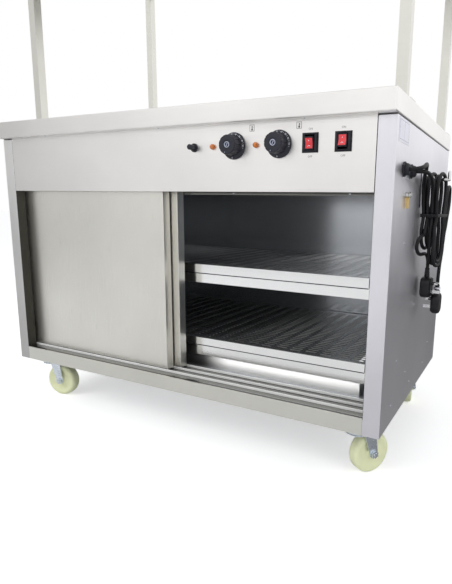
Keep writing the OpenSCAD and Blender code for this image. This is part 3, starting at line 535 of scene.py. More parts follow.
def folded(bm, path, rise, bend, outside, closed=False):
    """Sheet metal drawn as its outer side and folded along a path."""
    old_edges, old_faces = set(bm.edges), set(bm.faces)
    edges = wire(bm, path, closed)[1]
    shift(bm, bmesh.ops.extrude_edge_only(bm, edges=edges), rise)
    faces = [f for f in bm.faces if f not in old_faces]
    bmesh.ops.recalc_face_normals(bm, faces=faces)
    widest = max(faces, key=lambda f: f.normal.dot(Vector(outside)) ** 2 * f.calc_area())
    if widest.normal.dot(Vector(outside)) < 0:
        bmesh.ops.reverse_faces(bm, faces=faces)
    folds = [e for e in bm.edges if e not in old_edges and len(e.link_faces) == 2]
    soften(bm, folds, bend, 3)


def lettering(bm, words, height, place):
    """Thin letters, made a mesh before they are laid in place."""
    curve = bpy.data.curves.new("letters", "FONT")
    curve.body = words
    curve.size = height / 0.7
    curve.align_x = "CENTER"
    curve.align_y = "CENTER"
    curve.extrude = 0.07
    curve.resolution_u = 4
    holder = bpy.data.objects.new("letters", curve)
    scene.collection.objects.link(holder)
    bpy.context.view_layer.update()
    shaped = holder.evaluated_get(bpy.context.evaluated_depsgraph_get())
    mesh = bpy.data.meshes.new_from_object(shaped)
    mesh.transform(place)
    bm.from_mesh(mesh)
    bpy.data.objects.remove(holder)
    bpy.data.curves.remove(curve)
    bpy.data.meshes.remove(mesh)


# Cords, plugs and what holds them

RIGHT = (1, 0, 0)
CORD_R = 4.5
HOOK_Y, YAW = 308.0, math.radians(8)
HANK_TOP, HANK_LOW, HANK_X = 686.0, (567.0, 529.0), (13.0, 34.5)
HANK_FIRST_Z, HANK_LAST_ZS = 656, (587, 640)
FOLD, STEP, LAYER = 27.0, 11.0, 10.0
WAIST_Z, WAIST_IN, WAIST_HALF = 617.0, 8.0, 36.0
GLAND_YS, GLAND_Z = (72, 139), 714
STRAP_Y = 264
STUD_Y, STUD_Z = 105, 662

LEADS = (
    (
        (13, 72, 714), (23, 72, 714), (33, 78, 716), (38, 93, 720), (38, 112, 725),
        (36, 131, 728), (33, 150, 728), (29, 169, 725), (25, 188, 720),
        (20, 206, 714), (16, 224, 706), (12, 241, 696), (9, 256, 683),
    ),
    (
        (13, 139, 714), (23, 139, 714), (33, 145, 713), (38, 159, 710),
        (39, 178, 706), (38, 197, 702), (36, 216, 697), (34, 235, 691),
        (31, 252, 682),
    ),
)
TAILS = (
    (
        (16.5, 262, 570.5), (13.5, 249, 566), (10, 236, 559.5), (8, 229, 548),
        (8, 230, 535), (10, 241, 525), (13, 256, 521),
        (16, 273, 521), (19, 290, 520), (21, 305, 513), (22, 314, 500),
        (22, 316, 491), (22, 316, 482),
    ),
    (
        (51, 352, 669), (51, 363, 683), (51, 379, 691), (51, 397, 688),
        (50, 409, 675), (50, 412, 657), (50, 407, 639), (50, 397, 622),
        (50, 386, 605), (50, 376, 587), (49, 368, 569), (49, 362, 550),
        (48, 358, 530), (48, 354, 510), (47, 349, 490), (47, 344, 471),
        (47, 341, 455), (47, 341, 446), (47, 341, 437),
    ),
)


def fold_radius(u):
    """Half a hank's width after u turns: the first winds inwards, the later ones outwards."""
    return FOLD + STEP * (1 - u) if u < 1 else FOLD + STEP * max(0.0, u - 1.25)


def climbed(u):
    """The share of a layer moved out by, all in the first quarter of the second turn."""
    if u < 1:
        return 0.0
    return 1.0 if u > 1.25 else (1 - math.cos(math.pi * (u - 1) / 0.25)) / 2


def drawn_in(z):
    """How far the band at the waist pulls a run of the hank inwards."""
    away = abs(z - WAIST_Z)
    if away >= WAIST_HALF:
        return 0.0
    return WAIST_IN / 2 * (1 + math.cos(math.pi * away / WAIST_HALF))


def hank_point(u, cord):
    """Centre of the cord after u turns: down the left run, up the right one."""
    low = HANK_LOW[cord]
    q, r, run = u - math.floor(u), fold_radius(u), HANK_TOP - low
    if q < 0.25:
        z = HANK_TOP - run * q / 0.25
        flat = -r + drawn_in(z)
    elif q < 0.5:
        a = math.pi * (q - 0.25) / 0.25
        flat, z = -r * math.cos(a), low - r * math.sin(a)
    elif q < 0.75:
        z = low + run * (q - 0.5) / 0.25
        flat = r - drawn_in(z)
    else:
        a = math.pi * (q - 0.75) / 0.25
        flat, z = r * math.cos(a), HANK_TOP + r * math.sin(a)
    out = HANK_X[cord] + LAYER * climbed(u)
    return Vector((HALF_W + out + flat * math.sin(YAW), HOOK_Y + flat * math.cos(YAW), z))


def hank_line(cord, rings=24):
    """The hank from where its lead comes in to where its tail leaves."""
    low, last_z = HANK_LOW[cord], HANK_LAST_ZS[cord]
    run = HANK_TOP - low
    start = 0.25 * (HANK_TOP - HANK_FIRST_Z) / run
    end = 2 + (0.25 * (HANK_TOP - last_z) / run, 0.5 + 0.25 * (last_z - low) / run)[cord]
    steps = range(math.floor(start * rings) + 1, math.ceil(end * rings))
    return [hank_point(u, cord) for u in [start, *(i / rings for i in steps), end]]


def between(p, q, start, end, t):
    """Where a line is at t that is at p at its start and at q at its end."""
    return (p * (end - t) + q * (t - start)) / (end - start)


def smooth_through(points, step):
    """A curve through points, of near even steps."""
    line = []
    for i, (a, b) in enumerate(zip(points, points[1:])):
        before = points[i - 1] if i else a - (b - a)
        after = points[i + 2] if i + 2 < len(points) else b + (b - a)
        spans = ((before, a), (a, b), (b, after))
        knots = [0.0]
        for p, q in spans:
            knots.append(knots[-1] + max(0.01, (q - p).length) ** 0.5)
        count = max(1, round((b - a).length / step))
        for k in range(count):
            t = knots[1] + (knots[2] - knots[1]) * k / count
            first = [between(*spans[j], knots[j], knots[j + 1], t) for j in (0, 1, 2)]
            second = [between(*first[j:j + 2], knots[j], knots[j + 2], t) for j in (0, 1)]
            line.append(between(*second, knots[1], knots[2], t))
    line.append(points[-1])
    return line


def make_cord(number):
    """One free cord from its gland, through its hank, to its plug."""
    def off_panel(points):
        return [Vector((HALF_W + out, y, z)) for out, y, z in points]

    lead, tail = off_panel(LEADS[number - 1]), off_panel(TAILS[number - 1])
    line = smooth_through(lead + hank_line(number - 1) + tail, 5)
    curve = bpy.data.curves.new(f"cord_{number}", "CURVE")
    curve.dimensions = "3D"
    curve.bevel_depth = CORD_R / 1000
    curve.bevel_resolution = 4
    curve.use_fill_caps = True
    spline = curve.splines.new("POLY")
    spline.points.add(len(line) - 1)
    for point, p in zip(spline.points, line):
        point.co = (*at(*p), 1)
    spline.use_smooth = True
    curve.materials.append(cord_black)
    obj = bpy.data.objects.new(f"mains_cord_{number}", curve)
    scene.collection.objects.link(obj)
    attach(obj, COUNTER)
    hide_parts(f"cord_{number}_lead", f"cord_{number}_hank", f"cord_{number}_tail")
    length = sum((b - a).length for a, b in zip(line, line[1:])) / 1000
    return obj, length, lead[0]


def make_plug(number, out, y, top, thick, face):
    """A moulded three-pin plug under its cord; its pins point out or in."""
    bm = bmesh.new()
    x, shoulder = HALF_W + out, top - 24
    cover, back = x + face * thick / 2, x - face * thick / 2
    pin_sleeve, pin_long, earth_long, pin_place = 8.85, 17.7, 22.7, 11

    def narrowing(x, wide, narrow, high, low):
        """Four corners of a face that is wide above and narrow below."""
        corners = ((-wide, high), (wide, high), (narrow, low), (-narrow, low))
        return [(x, y + s, shoulder - down) for s, down in corners]

    def flat_pin(s, start, end, edge):
        """Part of the live or the neutral pin, by its distances from the cover."""
        low = (cover + face * start, y + s - 3.15, shoulder - 18)
        high = (cover + face * end, y + s + 3.15, shoulder - 14)
        block(bm, low, high, edge)

    body = narrowing(x - thick / 2, 26, 24, 0, 54)
    plate(bm, body, (thick, 0, 0), corner=17, edge=5.5, steps=7)
    lid = narrowing(cover, 22, 20, 3, 50)
    plate(bm, lid, (face * 1.2, 0, 0), corner=11, edge=0.5, steps=6)
    sleeve = [(0, 0), (0, 4.6), (2, 6.0)]
    for i in range(5):
        a, r = 3.5 + i * 4, 6.1 + i * 0.3
        sleeve += [(a, r), (a + 2.1, r), (a + 2.4, r - 0.9), (a + 3.7, r - 0.9)]
    sleeve += [(24, 9.0), (27, 10.5), (27, 0)]
    turned(bm, sleeve, (x, y, top), (0, 0, -1), steps=28)
    for i in range(4):
        z = shoulder - 16 - i * 8
        block(bm, (back - 0.5, y - 17, z), (back + 0.5, y + 17, z + 2.6), 0.45)
    for s in (-pin_place, pin_place):
        flat_pin(s, 0, pin_sleeve, 0.3)
    stain(bm, 0)
    for s in (-pin_place, pin_place):
        flat_pin(s, pin_sleeve, pin_long, 0.6)
    earth_end = (cover + face * earth_long, y + 2, shoulder - 34.2)
    block(bm, (cover, y - 2, shoulder - 42.2), earth_end, 0.6)
    stain(bm, 1)
    if face < 0:
        for a in (8, 17):
            band = [(a, 6.9), (a, 8.6), (a + 4.5, 8.9), (a + 4.5, 7.2)]
            turned(bm, band, (x, y, top), (0, 0, -1), steps=28, closed=True)
    stain(bm, 2)
    materials = [plug_black, bright_rod, plate_white]
    return piece(bm, f"moulded_plug_{number}", COUNTER, materials, f"plug_{number}")


def make_tie():
    """One flat band round both hanks at the waist."""
    c, s = math.cos(YAW), math.sin(YAW)
    wall, room, ease, turns_of_cord_2 = 1.2, 0.3, 2.6, 2.677
    reach = CORD_R + room + wall
    left_run = HANK_X[0] * s - FOLD - STEP + WAIST_IN
    widest = fold_radius(turns_of_cord_2) + ease
    right_run = (HANK_X[1] + LAYER) * s + widest - WAIST_IN
    x0, x1 = HANK_X[0] * c - reach, (HANK_X[1] + LAYER) * c + reach
    y0, y1 = left_run - reach, right_run + reach
    corners = [(x0, y0, -4), (x1, y0, -4), (x1, y1, -4), (x0, y1, -4)]
    bm = bmesh.new()
    folded(bm, corners, (0, 0, 8), 3.5, RIGHT, closed=True)
    turn = Matrix.Translation((HALF_W, HOOK_Y, WAIST_Z)) @ Matrix.Rotation(-YAW, 4, "Z")
    return piece(
        bm, "hank_band", COUNTER, cord_black, "cord_ties", wall=wall, turn=turn,
    )


plugs = (make_plug(1, 22, 316, 482, 26, 1), make_plug(2, 47, 341, 437, 21, -1))
tie = make_tie()
for number, with_pieces in ((1, [plugs[0]]), (2, [plugs[1], tie])):
    cord, length, leaves = make_cord(number)


def make_glands():
    """Two cable glands: nut, ribbed dome, the thread through the panel and its locknut."""
    bm = bmesh.new()
    dome = [
        (5, 0), (5, 11.6), (6, 12.4), (9.5, 12.2), (11.6, 11),
        (13, 8.6), (13.3, 6.2), (13, 5.2), (12, 4.7), (12, 0),
    ]
    for y in GLAND_YS:
        rod(bm, (HALF_W, y, GLAND_Z), (HALF_W + 5, y, GLAND_Z), 15.6, steps=6, edge=0.8)
        turned(bm, dome, (HALF_W, y, GLAND_Z), RIGHT, steps=36)
        for k in range(12):
            a = math.tau * k / 12
            ends = [
                (HALF_W + out, y + r * math.cos(a), GLAND_Z + r * math.sin(a))
                for out, r in ((5.2, 12), (10.5, 11.3))
            ]
            rod(bm, *ends, 1.1, 0.7, steps=8)
        rod(bm, (HALF_W - 14, y, GLAND_Z), (HALF_W + 0.5, y, GLAND_Z), 10, steps=36)
        locknut = [(HALF_W - inside, y, GLAND_Z) for inside in (6.5, 1.5)]
        rod(bm, *locknut, 15.6, steps=6, edge=0.8)
    piece(bm, "gland_nuts", COUNTER, boot_black, "cable_glands")


def make_strap():
    """The strip beside the hanks, with a rivet at each end."""
    bm = bmesh.new()
    corners = ((-4, 635), (4, 635), (4, 737), (-4, 737))
    outline = [(HALF_W, STRAP_Y + w, z) for w, z in corners]
    plate(bm, outline, (0.9, 0, 0), corner=3.5, edge=0.3)
    rivet = [(0.8, 0), (0.8, 3.4), (1.5, 3.1), (1.9, 2), (2, 0)]
    for z in (641, 731):
        turned(bm, rivet, (HALF_W, STRAP_Y, z), RIGHT, steps=20)
    piece(bm, "retaining_strip", COUNTER, boot_black, "retaining_strap")


def make_rating_plate():
    """A blank plate with a thin frame of lines."""
    bm = bmesh.new()
    corners = ((15, 765), (105, 765), (105, 812), (15, 812))
    plate(bm, [(HALF_W, y, z) for y, z in corners], (0.6, 0, 0), corner=2, edge=0.15)
    stain(bm, 0)
    low_x, high_x = HALF_W + 0.55, HALF_W + 0.65
    for z in (770, 807):
        block(bm, (low_x, 20, z - 0.25), (high_x, 100, z + 0.25))
    for y in (20, 60, 100):
        block(bm, (low_x, y - 0.25, 770), (high_x, y + 0.25, 807))
    stain(bm, 1)
    piece(bm, "blank_plate", COUNTER, [plate_white, mark_grey], "rating_plate")


def make_tag():
    """The small blank tag that hangs from the stud."""
    bm = bmesh.new()
    corners = ((0.8, 633), (8.6, 633), (9, 657.5), (1, 657.5))
    outline = [(HALF_W + out, STUD_Y - 0.4, z) for out, z in corners]
    plate(bm, outline, (0, 0.8, 0), corner=1.5, edge=0.15)
    piece(bm, "earth_tag", COUNTER, tag_yellow)


def make_stud():
    """The bonding stud: thread, washers and two nuts."""
    bm = bmesh.new()
    thread = [(-14, 0)]
    for i in range(28):
        thread += [(-14 + i, 2.6), (-13.5 + i, 3.0)]
    turned(bm, thread + [(14, 2.6), (14, 0)], (HALF_W, STUD_Y, STUD_Z), RIGHT, steps=20)

    def collar(out, deep, radius, **shape):
        """A washer or a nut, by its distance from the panel and its depth."""
        ends = [(HALF_W + a, STUD_Y, STUD_Z) for a in (out, out + deep)]
        rod(bm, *ends, radius, **shape)

    collar(0, 1.5, 7, steps=32, edge=0.3)
    collar(6.5, 0.9, 6.6, steps=32, edge=0.3)
    collar(1.5, 5, 5.9, steps=6, edge=0.6)
    collar(7.4, 5, 5.9, steps=6, edge=0.6)
    piece(bm, "earth_stud", COUNTER, nickel, "bonding_stud")


make_glands()
make_strap()
make_rating_plate()
make_tag()
make_stud()


# Sheet metal

PANEL_TOP = 812.5
INNER_W, BETWEEN_POSTS = 596.4, 557.5
RIB_YS = (29.5, 61, 92.5)
DOOR_W, DOOR_DEEP, DOOR_LOW, DOOR_HIGH = 579, 27, 176.7, 684


def across(bm, half, ys, zs, edge=0.0, steps=2):
    """A bar that reaches as far to the left as to the right."""
    block(bm, (-half, ys[0], zs[0]), (half, ys[1], zs[1]), edge, steps)


def make_worktop():
    """The pressed top with its apron."""
    bm = bmesh.new()
    across(bm, 600, (-22, BODY_BACK), (TOP_LOW, TOP_HIGH), 3.0, 3)
    piece(bm, "worktop_pressing", COUNTER, fascia_steel, "worktop")


def make_side(sign, name, node, outer_steel):
    """A side panel folded round its corner post; the post's fold starts over the floor; its return
    faces are painted dark, as painted shade.
    """
    bm = bmesh.new()
    corners = ((POST_IN, 28), (POST_IN, 0), (HALF_W, 0), (HALF_W, BODY_BACK))
    path = [(sign * x, y, FLOOR_Z) for x, y in corners]
    folded(bm, path, (0, 0, PANEL_TOP - FLOOR_Z), 2.0, (sign, 0, 0))
    foot = [(sign * x, y, SIDE_FOOT) for x, y in corners[1:]]
    folded(bm, foot, (0, 0, FLOOR_Z - SIDE_FOOT), 2.0, (sign, 0, 0))
    bmesh.ops.remove_doubles(bm, verts=bm.verts, dist=0.01)
    # The post's return faces take the dark steel: painted shade where the return sits in shadow.
    for face in bm.faces:
        if abs(face.calc_center_median().x) < POST_IN + 1:
            face.material_index = 1
    piece(bm, name, COUNTER, [outer_steel, shade_painted_steel], node, wall=SHEET)


def make_flanges():
    """The stiffening flanges on top of the side panels, under the worktop, painted dark as painted
    shade in the gap above the posts.
    """
    bm = bmesh.new()
    for s in (-1, 1):
        block(bm, (s * INNER_W, 1.5, TOP_LOW - SHEET), (s * 581.5, 660.5, TOP_LOW))
    piece(bm, "panel_flanges", COUNTER, shade_painted_steel)


def make_door(side, x, y):
    """A door pan with a dark strip along its foot, a painted shadow line."""
    bm = bmesh.new()
    block(bm, (x, y, DOOR_LOW), (x + DOOR_W, y + DOOR_DEEP, DOOR_HIGH), 1.6, 3)
    stain(bm, 0)
    # A thin dark strip at the door's foot: painted shadow where the door meets the track.
    shadow_strip_end = (x + DOOR_W - 1.5, y + 0.5, DOOR_LOW + 3.7)
    block(bm, (x + 1.5, y - 0.4, DOOR_LOW), shadow_strip_end, 0.15)
    stain(bm, 1)
    materials = [door_steel, boot_black]
    piece(bm, f"{side}_door_pan", f"{side}_door_body", materials, f"{side}_door")


def make_bottom_track():
    """A plate with three guide ribs lighter than it, a painted highlight, and dark strips at the
    plate's edge and the ribs' feet as painted shadow lines.
    """
    bm = bmesh.new()
    across(bm, BETWEEN_POSTS, (6, 29.5), (FLOOR_Z, FLOOR_Z + SHEET), 0.4)
    across(bm, INNER_W, (29.4, 94.5), (FLOOR_Z, FLOOR_Z + SHEET), 0.4)
    stain(bm, 0)
    # The ribs take the near-white steel: a painted highlight along their tops.
    for y in RIB_YS:
        across(bm, INNER_W, (y, y + 2), (172.4, 179.5), 0.9, 3)
    stain(bm, 1)
    # Dark strips at the plate's front edge and beside the ribs' feet: painted shadow lines.
    across(bm, BETWEEN_POSTS, (3.1, 8.5), (171.1, 172.7))
    for y in (32.5, 58.5, 64, 90):
        across(bm, INNER_W, (y, y + 1.6), (172.3, 172.8))
    stain(bm, 2)
    materials = [track_steel, rib_steel, boot_black]
    piece(bm, "ribbed_track", COUNTER, materials, "bottom_track")


make_worktop()
make_bottom_track()
make_side(-1, "left_side_sheet", "side_panel_left", left_side_steel)
make_side(1, "right_side_sheet", "side_panel_right", side_steel)
make_flanges()
make_door("front", -596, 33)
make_door("rear", -574, 64)


# Perforated shelves

PITCH_X, PITCH_Y = 43.2, 16.48
FIRST_ROW, ROWS = 130.9, 30
TRAY_LIP, TRAY_FRONT, TRAY_BACK = 115, 116.5, 649.5
TRAY_HALVES = ((-524, -45.2, 11), (-44.8, 524, 13))


def slot_cell():
    """One slot in its share of the sheet, as a mesh to be copied."""
    h = PITCH_Y / 2
    rim = [(0, 0), (PITCH_X, 0), (PITCH_X, h), (PITCH_X, 2 * h), (0, 2 * h), (0, h)]
    slot = [
        (6.6, h - 2), (8.6, h - 4), (34.6, h - 4), (36.6, h - 2),
        (36.6, h + 2), (34.6, h + 4), (8.6, h + 4), (6.6, h + 2),
    ]
    cell = bmesh.new()
    loops = [edge for outline in (rim, slot) for edge in ring(cell, [(*p, 0) for p in outline])]
    bmesh.ops.triangle_fill(cell, use_beauty=True, edges=loops)
    pattern = bpy.data.meshes.new("slot_cell")
    cell.to_mesh(pattern)
    cell.free()
    return pattern


def perforated(bm, x0, x1, z, columns):
    """A tray half: slots in alternating columns inside a plain border."""
    left = (x0 + x1 - columns * PITCH_X) / 2
    right = left + columns * PITCH_X

    def on_border(edge):
        """Whether an edge is on the outside of all the cells, and not on a slot."""
        a, b = (v.co for v in edge.verts)
        long = edge.calc_length()
        at_side = min(abs((a.x + b.x) / 2 - x) for x in (left, right)) < 0.1
        at_end = abs(a.y - b.y) < 0.01 and long > PITCH_X - 1
        at_step = abs(a.x - b.x) < 0.01 and abs(long - PITCH_Y / 2) < 0.1
        return len(edge.link_faces) == 1 and (at_side or at_end or at_step)

    pattern = slot_cell()
    field = bmesh.new()
    for i in range(columns):
        for j in range(ROWS):
            y = FIRST_ROW + (j + 0.5 * (i % 2)) * PITCH_Y
            place = Matrix.Translation((left + i * PITCH_X, y, z))
            pattern.transform(place)
            field.from_mesh(pattern)
            pattern.transform(place.inverted())
    bmesh.ops.remove_doubles(field, verts=field.verts, dist=0.01)
    outer = [edge for edge in field.edges if on_border(edge)]
    corners = ((x0, TRAY_FRONT), (x1, TRAY_FRONT), (x1, TRAY_BACK), (x0, TRAY_BACK))
    outer += ring(field, [(x, y, z) for x, y in corners])
    bmesh.ops.triangle_fill(field, use_beauty=True, edges=outer)
    bmesh.ops.recalc_face_normals(field, faces=field.faces)
    shift(field, bmesh.ops.extrude_face_region(field, geom=field.faces[:]), (0, 0, -SHEET))
    sheet = bpy.data.meshes.new("tray_sheet")
    field.to_mesh(sheet)
    field.free()
    bm.from_mesh(sheet)
    bpy.data.meshes.remove(sheet)
    bpy.data.meshes.remove(pattern)


def make_shelf(level, z, edge):
    """A shelf in two halves, with its front lip, and dark strips under and beside it as painted
    shadow lines.
    """
    bm = bmesh.new()
    for x0, x1, columns in TRAY_HALVES:
        perforated(bm, x0, x1, z, columns)
    stain(bm, 0)
    # Every upright face of the sheet, the slots' walls and the tray's edges, takes the brighter
    # band steel: a painted glint along the slots.
    for face in bm.faces:
        if abs(face.normal.z) < 0.5:
            face.material_index = 1
    for x0, x1, _ in TRAY_HALVES:
        block(bm, (x0, TRAY_LIP, z - edge), (x1, TRAY_FRONT, z), 0.5)
    stain(bm, 1)
    # Dark strips under the lip and beside it at the right: painted shadow lines.
    block(bm, (-566, 115.9, z - edge - 2.4), (523, TRAY_FRONT, z - edge))
    block(bm, (524.1, 115.2, z - edge + 0.5), (540, TRAY_FRONT, z - 1))
    stain(bm, 2)
    materials = [shelf_steel, band_steel, boot_black]
    piece(bm, f"{level}_tray", COUNTER, materials, f"{level}_shelf", smooth=20)


make_shelf("upper", 470, 24)
make_shelf("lower", 259, 21)


# Controls


def facing_front(x, y, z):
    """Lays a drawing of X across and Y up on a face that looks to the front."""
    return Matrix.Translation((x, y, z)) @ UPRIGHT


def make_dial(name, number, x):
    """A skirted dial with a fluted cap, white numbers and its spindle."""
    bm = bmesh.new()
    centre = Vector((x, 0, CONTROL_Z))

    def out_at(degrees, radius, y):
        """A point before the fascia, by its place round the dial."""
        a = math.radians(degrees)
        return centre + Vector((radius * math.cos(a), y, radius * math.sin(a)))

    skirt = [(0.5, 0), (0.5, 29.7), (1.2, 30), (2.8, 30), (4.2, 29.1), (5.4, 24), (5.6, 22.9)]
    cap = [
        (6.2, 22.3), (29.2, 21.9), (31.1, 21.3), (32.1, 20.1),
        (32.5, 18.5), (32.5, 9.4), (31.4, 8.6), (31.2, 0),
    ]
    turned(bm, skirt + cap, centre, FRONT, steps=144)
    for v in bm.verts:
        flat = Vector((v.co.x - x, 0, v.co.z - CONTROL_Z))
        if 6.0 < -v.co.y < 31.8 and flat.length > 19.6:
            flute = max(0.0, math.cos(12 * math.atan2(flat.z, flat.x))) ** 6
            flat *= 1 - 0.06 * flute
            v.co = Vector((x + flat.x, v.co.y, CONTROL_Z + flat.z))
    rod(bm, centre + Vector((0, -0.6, 0)), centre + Vector((0, 25.5, 0)), 3.0)
    stain(bm, 0)
    hub = [(31.1, 6.8), (31.9, 6.8), (32.1, 6.5), (32.1, 5.2), (31.9, 4.9), (31.1, 4.9)]
    turned(bm, hub, centre, FRONT, steps=36, closed=True)
    for s in (-1, 1):
        stroke = Vector((1.1 * s + 1.6, 0, 3.4))
        middle = centre + Vector((0, -31.5, 0))
        rod(bm, middle - stroke, middle + stroke, 0.6, steps=8)
    rod(bm, out_at(254, 16.2, -32.4), out_at(254, 18.4, -32.2), 0.8, steps=8)
    stain(bm, 1)
    lean = Matrix.Rotation(math.pi / 2 - math.atan2(1.2, 5.0), 4, "X")
    for k in range(9):
        spin = math.radians(25 * k - 1)
        up = Matrix.Translation(centre) @ Matrix.Rotation(-spin + math.pi / 2, 4, "Y")
        lettering(bm, str(30 + 10 * k), 3.6, up @ Matrix.Translation((0, -4.95, 25.9)) @ lean)
        tick = up @ Matrix.Rotation(math.radians(12.5), 4, "Y")
        rod(bm, tick @ Vector((0, -5.05, 25)), tick @ Vector((0, -4.4, 27.8)), 0.3, steps=6)
    rod(bm, out_at(264, 24.5, -5.2), out_at(264, 28, -4.4), 0.6, steps=8)
    stain(bm, 2)
    materials = [dial_black, mark_blue, mark_white]
    piece(bm, name, f"dial_{number}", materials, f"knob_{number}", smooth=30)


make_dial("dial_left", 1, DIAL_XS[0])
make_dial("dial_right", 2, DIAL_XS[1])

OPENING_X, OPENING_Z = 10.7, 15.8


def ring_wall(bm, x, depth, half_x, half_z, edge):
    """A rectangular collar on the fascia round the rocker's opening."""
    old = set(bm.faces)
    loops = []
    for a, b in ((half_x, half_z), (OPENING_X, OPENING_Z)):
        corners = ((-a, -b), (a, -b), (a, b), (-a, b))
        loops += ring(bm, [(x + dx, depth, CONTROL_Z + dz) for dx, dz in corners])
    bmesh.ops.bridge_loops(bm, edges=loops)
    faces = [f for f in bm.faces if f not in old]
    shift(bm, bmesh.ops.extrude_face_region(bm, geom=faces), (0, -depth, 0))
    front = {
        e for f in bm.faces if f not in old for e in f.edges
        if all(abs(v.co.y - depth) < 0.01 for v in e.verts) and e.calc_face_angle(0) > 1
    }
    soften(bm, front, edge, 3)


def make_boots():
    """Two rubber boots round the rockers, and the switch bodies behind them."""
    bm = bmesh.new()
    for x in SWITCH_XS:
        ring_wall(bm, x, -2.0, 18.5, 20.5, 0.8)
        ring_wall(bm, x, -6.0, 16.5, 18.5, 1.6)
        for s in (-1, 1):
            block(bm, (x + s * OPENING_X, 0.1, 750), (x + s * 15.2, 22, 782), 0.4)
            low_z, high_z = CONTROL_Z + s * OPENING_Z, CONTROL_Z + s * 17.2
            block(bm, (x - 15.2, 0.1, low_z), (x + 15.2, 22, high_z), 0.4)
        block(bm, (x - 15.2, 14, 749), (x + 15.2, 22, 783), 0.5)
    piece(bm, "switch_boots", COUNTER, boot_black, "rocker_frames")


def make_rocker(name, number, x, tilt):
    """A red rocker with its two marks, tilted on its pivot pin."""
    bm = bmesh.new()
    face_y, half, wide = -12.5, 13.5, 10.0

    def across_rocker(wide, outline, edge):
        """A bar of one outline, drawn from the rocker's front and its middle."""
        corners = [(-wide, face_y + deep, z) for deep, z in outline]
        plate(bm, corners, (2 * wide, 0, 0), edge=edge)

    body = [
        (0, half - 1), (2.4, 0), (0, 1 - half), (1.5, -half), (9.5, 1 - half),
        (17.5, -6), (17.5, 6), (9.5, half - 1), (1.5, half),
    ]
    across_rocker(wide, body, 0.5)
    rod(bm, (-13, 0, 0), (13, 0, 0), 1.5, steps=20)
    stain(bm, 2)
    red = [(-0.2, half - 3), (2.2, 0), (-0.2, 3 - half), (3, 3 - half), (5, 0), (3, half - 3)]
    across_rocker(8, red, 0.3)
    stain(bm, 0)
    lean = math.atan2(2.4, half - 1)
    up, down = (
        Matrix.Translation((0, face_y + 1.1, s * 7)) @ Matrix.Rotation(-s * lean, 4, "X")
        for s in (1, -1)
    )
    bar = bmesh.ops.create_cube(bm, size=1.0)["verts"]
    bmesh.ops.transform(bm, matrix=up @ Matrix.Diagonal((1.4, 0.5, 5.6, 1)), verts=bar)
    old = set(bm.verts)
    circle = [(0.25, 1.9), (0.25, 3.0), (-0.2, 3.0), (-0.2, 1.9)]
    turned(bm, circle, (0, 0, 0), FRONT, steps=24, closed=True)
    bmesh.ops.transform(bm, matrix=down, verts=[v for v in bm.verts if v not in old])
    stain(bm, 1)
    turn = Matrix.Translation((x, 3, CONTROL_Z)) @ Matrix.Rotation(math.radians(tilt), 4, "X")
    materials = [rocker_red, mark_white, boot_black]
    piece(bm, name, f"switch_{number}", materials, f"rocker_{number}", turn=turn)


make_boots()
make_rocker("rocker_left", 1, SWITCH_XS[0], 9)
make_rocker("rocker_right", 2, SWITCH_XS[1], -9)


def make_lamps():
    """Two domed amber lamps in their bezels."""
    bm = bmesh.new()
    bezel = [(-18, 0), (-18, 4.7), (0, 4.7), (0, 6.5), (1.4, 6.5), (2.0, 6.25)]
    dome = [(5.2, 6.2), (6.6, 5.4), (7.7, 4.4), (8.6, 2.9), (9.1, 1.5), (9.3, 0)]
    for x in LAMP_XS:
        turned(bm, bezel + dome, (x, 0, CONTROL_Z), FRONT, steps=32)
    piece(bm, "amber_lamps", COUNTER, lens_amber, "indicators", smooth=50)


def make_reset():
    """The reset button's collar, and the button that slides in it."""
    centre = (RESET_X, 0, CONTROL_Z)
    bm = bmesh.new()
    collar = [
        (0, 10), (2.8, 10), (3.7, 9.2), (4, 8.2), (4, 6.8),
        (-10, 6.8), (-10, 0), (-24, 0), (-24, 7.8), (0, 7.8),
    ]
    turned(bm, collar, centre, FRONT, steps=40)
    piece(bm, "reset_collar", COUNTER, boot_black, "reset_housing")
    bm = bmesh.new()
    cap = [
        (-6.5, 0), (-6.5, 6.5), (4.4, 6.5), (4.7, 5.9), (5.4, 5.9),
        (5.7, 6.5), (20.4, 6.4), (21.6, 5.7), (22, 4.6), (22, 0),
    ]
    turned(bm, cap, centre, FRONT, steps=36)
    piece(bm, "reset_cap", "reset", dial_black, "reset_button")


def make_marks():
    """Printed marks on the fascia: ON and OFF, and a thermometer by each dial."""
    bm = bmesh.new()
    for x in SWITCH_XS:
        lettering(bm, "ON", 4.2, facing_front(x, -0.06, 794))
        lettering(bm, "OFF", 4.2, facing_front(x, -0.06, 737.5))
    stain(bm, 0)

    def printed(x0, z0, x1, z1):
        """A thin printed bar, by two corners on the fascia."""
        block(bm, (x0, -0.12, z0), (x1, 0, z1))

    z = 803
    for dial_x in DIAL_XS:
        x = dial_x + 47
        printed(x - 6, z - 7, x - 5.2, z + 7)
        printed(x + 5.2, z - 7, x + 6, z + 7)
        printed(x - 6, z - 7, x + 6, z - 6.2)
        printed(x - 6, z + 6.2, x + 6, z + 7)
        printed(x - 0.9, z - 3, x + 0.9, z + 4.5)
        rod(bm, (x, -0.12, z - 3.4), (x, 0, z - 3.4), 2.0, steps=20)
        for k in range(3):
            printed(x + 1.6, z + k * 1.8, x + 3.2, z + k * 1.8 + 0.5)
    stain(bm, 1)
    piece(bm, "printed_marks", COUNTER, [mark_grey, boot_black])


make_lamps()
make_reset()
make_marks()


# Fasteners


